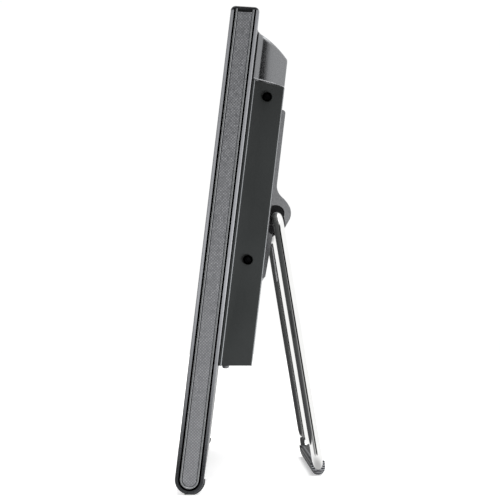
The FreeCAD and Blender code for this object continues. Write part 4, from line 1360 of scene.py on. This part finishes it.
    def screws(self) -> None:
        """Put the four black screws in the flat side panels."""
        spots, ways = [], []
        for side in (-1, 1):
            for w in self.screw_w:
                spots.append(LEAN.at(side * self.wall_x, self.screw_v, w))
                ways.append(Vector((side, 0.0, 0.0)))
        screws("side_screw_heads", "side_screws", spots, ways, self.screw_head, self.screw_height)

    def sockets(self) -> None:
        """Dress the sockets and lay their contacts."""
        refined("usb_port", "usb_shell", ZINC, "steel_sheet")
        refined("card_slot", "card_cage", ZINC, "steel_sheet")
        refined("power_inlet", "dc_jack", ACETAL, "acetal")
        contacts("usb_contacts", LEAN.at(-144.5, 27.05, 103.0), (7.0, 0.3, 1.1), 4)
        contacts("card_contacts", LEAN.at(-129.0, 24.5, 153.0), (4.0, 0.3, 1.2), 9)

    def build(self) -> None:
        """Build and dress every piece of the housing."""
        refined("rear_housing", "housing_tub", HOUSING_ABS, "housing_plastic")
        self.hood()
        self.beads()
        self.screws()
        self.sockets()
        paint(ZINC, "chassis_tray", "backup_cell")
        paint(BOARD, "main_board", "key_board")
        paint(SCRIM, "speaker_right", "speaker_left")
        paint(CABLE_FILM, "display_cable")


class KeyMark(Enum):
    """The raised mark on a key, as an outline in key millimetres."""

    DOWN = ((-1.0, 0.6), (1.0, 0.6), (0.0, -0.9))
    BACK = ((0.7, 1.0), (0.7, -1.0), (-0.9, 0.0))
    ENTER = ((-0.75, -0.75), (0.75, -0.75), (0.75, 0.75), (-0.75, 0.75))
    MENU = ((-1.2, -0.3), (1.2, -0.3), (1.2, 0.3), (-1.2, 0.3))
    UP = ((-1.0, -0.6), (1.0, -0.6), (0.0, 0.9))


@dataclass
class ControlPanel:
    """The column of keys on the housing's back and the knob under it."""

    key_x: float = -110.0
    key_low: float = 184.0
    pitch: float = 9.0
    half_width: float = 3.7
    half_height: float = 2.4
    root: float = 31.0
    face: float = 35.5
    corner: float = 1.1
    knob_radius: float = 1.95

    def key(self, name: str, w: float, mark: KeyMark) -> None:
        """Build one key with its crowned face and its mark.

        Args:
            name: The key's body and CAD node.
            w: Its height up the unit.
            mark: Its mark.
        """
        face = self.face
        outlines = ((0.0, self.root), (0.0, face - 0.6), (0.2, face - 0.2), (0.65, face),
                    (1.3, face - 0.15))
        rings = [[LEAN.at(self.key_x + x, depth, w + z) for x, z in self.rounded(inset)]
                 for inset, depth in outlines]
        cap = new_piece(name + "_cap", *skin(rings))
        dress(cap, KEY_ABS, name, "key_plastic", name)
        layers = [[LEAN.at(self.key_x - x, face - sunk, w + z) for x, z in mark.value]
                  for sunk in (0.3, 0.02)]
        raised = new_piece(name + "_mark", *skin(layers))
        dress(raised, KEY_MARK, name, "key_plastic")

    def rounded(self, inset: float, steps: int = 5) -> list[Flat]:
        """Return a key's rounded outline.

        Args:
            inset: How far it is drawn in.
            steps: Points round each corner.

        Returns:
            Points (x, z) from the key's middle.
        """
        wide, high = self.half_width - inset, self.half_height - inset
        turn = max(self.corner - inset * 0.5, 0.3)
        line = []
        for quarter, (sx, sz) in enumerate(((1, 1), (-1, 1), (-1, -1), (1, -1))):
            for i in range(steps + 1):
                angle = math.pi / 2 * (quarter + i / steps)
                line.append((sx * (wide - turn) + turn * math.cos(angle),
                             sz * (high - turn) + turn * math.sin(angle)))
        return line

    def knob(self) -> None:
        """Turn the domed power knob with its finger groove."""
        low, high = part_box("power_key")
        middle, radius = (low + high) / 2, self.knob_radius * MM
        profile = [(0.35, 0.03), (0.65, 0.16), (0.85, 0.4), (0.97, 0.75), (1.0, 1.2),
                   (1.0, 1.5), (0.9, 1.62), (0.9, 1.9), (1.0, 2.02)]
        rings = []
        for share, rise in profile + [(1.0, (high.z - low.z) / MM)]:
            rings.append([Vector((middle.x + radius * share * math.cos(a),
                                  middle.y + radius * share * math.sin(a), low.z + rise * MM))
                          for a in (math.tau * i / 40 for i in range(40))])
        dress(new_piece("power_knob", *skin(rings)), KNOB_ABS, "power_key", "key_plastic", "power_key")

    def build(self) -> None:
        """Build the keys and the knob."""
        names = ("key_down", "key_back", "key_enter", "key_menu", "key_up")
        for row, (name, mark) in enumerate(zip(names, KeyMark)):
            self.key(name, self.key_low + self.pitch * row, mark)
        self.knob()


@dataclass
class HingeBracket:
    """The moulded bracket that hooks over the stand's pins, its bushings and its screws."""

    screw_x: float = 48.0
    screw_w: Flat = (133.0, 214.0)
    screw_v: float = 36.0
    screw_head: float = 7.0
    screw_height: float = 1.9
    shade_rib_x: float = 43.0
    shade_rib_thick: float = 4.0

    def shade_ribs(self) -> None:
        """Stand a near-black rib inside the hook at each pin's inner end: painted shade that keeps the hook
        dark and shuts out the light behind it.
        """
        outline = [(36.0, 150.5), (38.6, 150.5), (41.8, 156.2), (41.4, 161.5), (38.4, 164.6), (36.0, 164.6)]
        for side, label in ENDS:
            rings = [[LEAN.at(side * (self.shade_rib_x + out), v, w) for v, w in outline]
                     for out in (0.0, self.shade_rib_thick)]
            shade_rib = new_piece("pin_shade_rib_" + label, *skin(rings))
            # painted shade: the rib's black acetal colour fills the hook's shadow
            dress(shade_rib, ACETAL, "frame", "acetal")

    def build(self) -> None:
        """Build and dress every piece of the bracket."""
        refined("hinge_bracket", "hook_bracket", BRACKET_LACQUER, "hood_plastic", limit=math.radians(25.0))
        self.shade_ribs()
        for _, end in ENDS:
            refined("hinge_bushing_" + end, "pin_bushing_" + end, ACETAL, "acetal")
        paint(ZINC, "hinge_backing_plate")
        spots = [LEAN.at(x, self.screw_v, w) for x in (-self.screw_x, self.screw_x) for w in self.screw_w]
        screws("bracket_screw_heads", "bracket_screws", spots, [REARWARD] * len(spots),
               self.screw_head, self.screw_height)


@dataclass
class WireStand:
    """The chromed rod bent into a U, with the ribbed rubber boot on its floor bar."""

    radius: float = 3.25
    half_width: float = 80.8
    leg: float = 154.665
    elbow: float = 9.0
    bend: float = 10.0
    pin_inner: float = 50.0
    pin_break: float = 0.4

    def centre_line(self, steps: int = 14) -> list[tuple[Flat, Flat]]:
        """Return the rod's centre line.

        Args:
            steps: Points round each bend.

        Returns:
            Points (x, z), each with its direction.
        """
        corners = [(self.pin_inner, 0.0), (self.half_width, 0.0), (self.half_width, -self.leg),
                   (-self.half_width, -self.leg), (-self.half_width, 0.0), (-self.pin_inner, 0.0)]
        turns = [self.elbow, self.bend, self.bend, self.elbow]
        line = [(Vector(corners[0]), Vector((1.0, 0.0)))]
        for before, corner, after, turn in zip(corners, corners[1:], corners[2:], turns):
            into = (Vector(corner) - Vector(before)).normalized()
            away = (Vector(after) - Vector(corner)).normalized()
            centre = Vector(corner) - into * turn + away * turn
            for i in range(steps + 1):
                angle = math.pi / 2 * i / steps
                spot = centre + (-away * math.cos(angle) + into * math.sin(angle)) * turn
                line.append((spot, into * math.cos(angle) + away * math.sin(angle)))
        line.append((Vector(corners[-1]), Vector((1.0, 0.0))))
        return line

    def rod(self, place: StandFrame, around: int = 48) -> None:
        """Sweep the rod along its centre line, with the pins' ends chamfered.

        Args:
            place: The stand's frame.
            around: Points round the rod.
        """
        line = self.centre_line()
        (first, into), (last, away) = line[0], line[-1]
        thin, back = self.radius - self.pin_break, Vector((self.pin_break, 0.0))
        stations = [(first, into, thin), (first + back, into, self.radius)]
        stations += [(spot, way, self.radius) for spot, way in line[1:-1]]
        stations += [(last - back, away, self.radius), (last, away, thin)]
        rings = []
        for spot, way, radius in stations:
            aside = Vector((way.y, -way.x))
            ring = []
            for i in range(around):
                angle = math.tau * i / around
                out = aside * (radius * math.cos(angle))
                ring.append(place.at(spot.x + out.x, radius * math.sin(angle), spot.y + out.y))
            rings.append(ring)
        dress(new_piece("chrome_rod", *skin(rings)), CHROME, "stand", "chrome_rod", "stand")

    def build(self) -> None:
        """Build the rod and dress the boot."""
        place = StandFrame.from_cad(self.leg, self.radius)
        self.rod(place)
        refined("stand_boot", "rubber_boot", RIBBED_RUBBER, "rubber", body="stand")


@dataclass(frozen=True)
class DimPatch:
    """A dark patch of the room, given by its way, its size in degrees and how much light is left."""

    azimuth: float
    elevation: float
    inner: float
    outer: float
    level: float

    def way(self) -> Vector:
        """Return the unit vector towards its middle."""
        around, up = math.radians(self.azimuth), math.radians(self.elevation)
        return Vector((math.cos(around) * math.cos(up), math.sin(around) * math.cos(up), math.sin(up)))


@dataclass
class Studio:
    """A pale floor, a white room with three dark patches for the bright parts to mirror, and a camera."""

    camera_at: Triple = (1.083, -0.0166, 0.085)
    aim: Triple = (-1.0, 0.01448, 0.05097)
    lens_mm: float = 119.4
    floor_half: float = 6.0
    patches: tuple[DimPatch, ...] = (
        DimPatch(8.0, 0.0, 13.0, 19.0, 0.02),
        DimPatch(-32.0, 4.0, 14.0, 32.0, 0.22),
        DimPatch(6.0, 22.0, 14.0, 24.0, 0.03),
    )
    ground_level: float = 0.5
    room_level: float = 1.02
    horizon: Flat = (-0.95, -0.1)

    def floor(self) -> None:
        """Lay the floor, which takes shadows but isn't mirrored and throws no light back."""
        points = [Vector((x * self.floor_half, y * self.floor_half, -0.0002))
                  for x, y in ((-1, -1), (1, -1), (1, 1), (-1, 1))]
        ground = new_piece("studio_floor", points, [(0, 1, 2, 3)])
        ground.data.materials.append(FLOOR_PAPER.material())
        ground.visible_diffuse = False
        ground.visible_glossy = False

    def world(self) -> None:
        """Light the room: plain white to the camera, with dark patches and a dimmer ground in mirrors."""
        sky = bpy.data.worlds.new("soft_room")
        sky.use_nodes = True
        sky.node_tree.nodes.clear()
        room = Nodes(sky.node_tree)
        way = room.node("ShaderNodeTexCoord").outputs["Generated"]
        height = room.node("ShaderNodeSeparateXYZ", {}, {0: way}).outputs["Z"]
        seen = room.spread(height, self.ground_level, self.room_level, *self.horizon, "SMOOTHSTEP")
        for patch in self.patches:
            near = room.node("ShaderNodeVectorMath", {"operation": "DOT_PRODUCT"}, {
                0: way, 1: tuple(patch.way())}).outputs["Value"]
            outer, inner = (math.cos(math.radians(angle)) for angle in (patch.outer, patch.inner))
            dim = room.spread(near, 1.0, patch.level, outer, inner, "SMOOTHSTEP")
            seen = room.math("MULTIPLY", seen, dim)
        straight = room.node("ShaderNodeLightPath").outputs["Is Camera Ray"]
        glow = room.node("ShaderNodeBackground", {}, {
            "Color": srgb("#FFFFFF"), "Strength": room.math("MAXIMUM", seen, straight)})
        room.node("ShaderNodeOutputWorld", {}, {"Surface": glow.outputs[0]})
        bpy.context.scene.world = sky

    def lamp(self, name: str, spot: Triple, target: Triple,
             size: Flat, watts: float, mirrored: bool) -> None:
        """Hang a soft rectangular lamp.

        Args:
            name: Its name.
            spot: Where it hangs.
            target: What it points at.
            size: Its width and height in metres.
            watts: Its power.
            mirrored: Whether bright metal mirrors it.
        """
        data = bpy.data.lights.new(name, "AREA")
        data.shape = "RECTANGLE"
        data.size, data.size_y = size
        data.energy = watts
        lamp = bpy.data.objects.new(name, data)
        lamp.location = spot
        lamp.visible_glossy = mirrored
        lamp.rotation_mode = "QUATERNION"
        lamp.rotation_quaternion = (Vector(target) - Vector(spot)).to_track_quat("-Z", "Y")
        bpy.context.scene.collection.objects.link(lamp)

    def camera(self) -> None:
        """Stand the camera at the frame's right end."""
        data = bpy.data.cameras.new("end_view")
        data.lens = self.lens_mm
        data.sensor_width = 36.0
        data.clip_start, data.clip_end = 0.01, 50.0
        eye = bpy.data.objects.new("end_view", data)
        eye.location = self.camera_at
        eye.rotation_mode = "QUATERNION"
        eye.rotation_quaternion = Vector(self.aim).to_track_quat("-Z", "Y")
        bpy.context.scene.collection.objects.link(eye)
        bpy.context.scene.camera = eye

    def build(self) -> None:
        """Set up the studio."""
        bpy.context.scene.view_settings.view_transform = "Standard"
        self.camera()
        self.floor()
        self.world()
        self.lamp("top_soft_box", (0.1, 0.25, 1.4), (0.0, 0.0, 0.1), (1.2, 1.2), 12.0, True)
        self.lamp("low_soft_box", (0.36, 0.2, 0.02), (0.2, -0.03, 0.04), (0.16, 0.03), 1.9, False)


def main() -> None:
    """Build the whole object in order and report each piece."""
    logging.basicConfig(level=logging.INFO, format="%(name)s: %(message)s")
    for part in (Studio(), DisplayUnit(), SideTrim(), Housing(), ControlPanel(), HingeBracket(),
                 WireStand()):
        log.info("building %s", type(part).__name__)
        part.build()


if __name__ == "__main__":
    main()
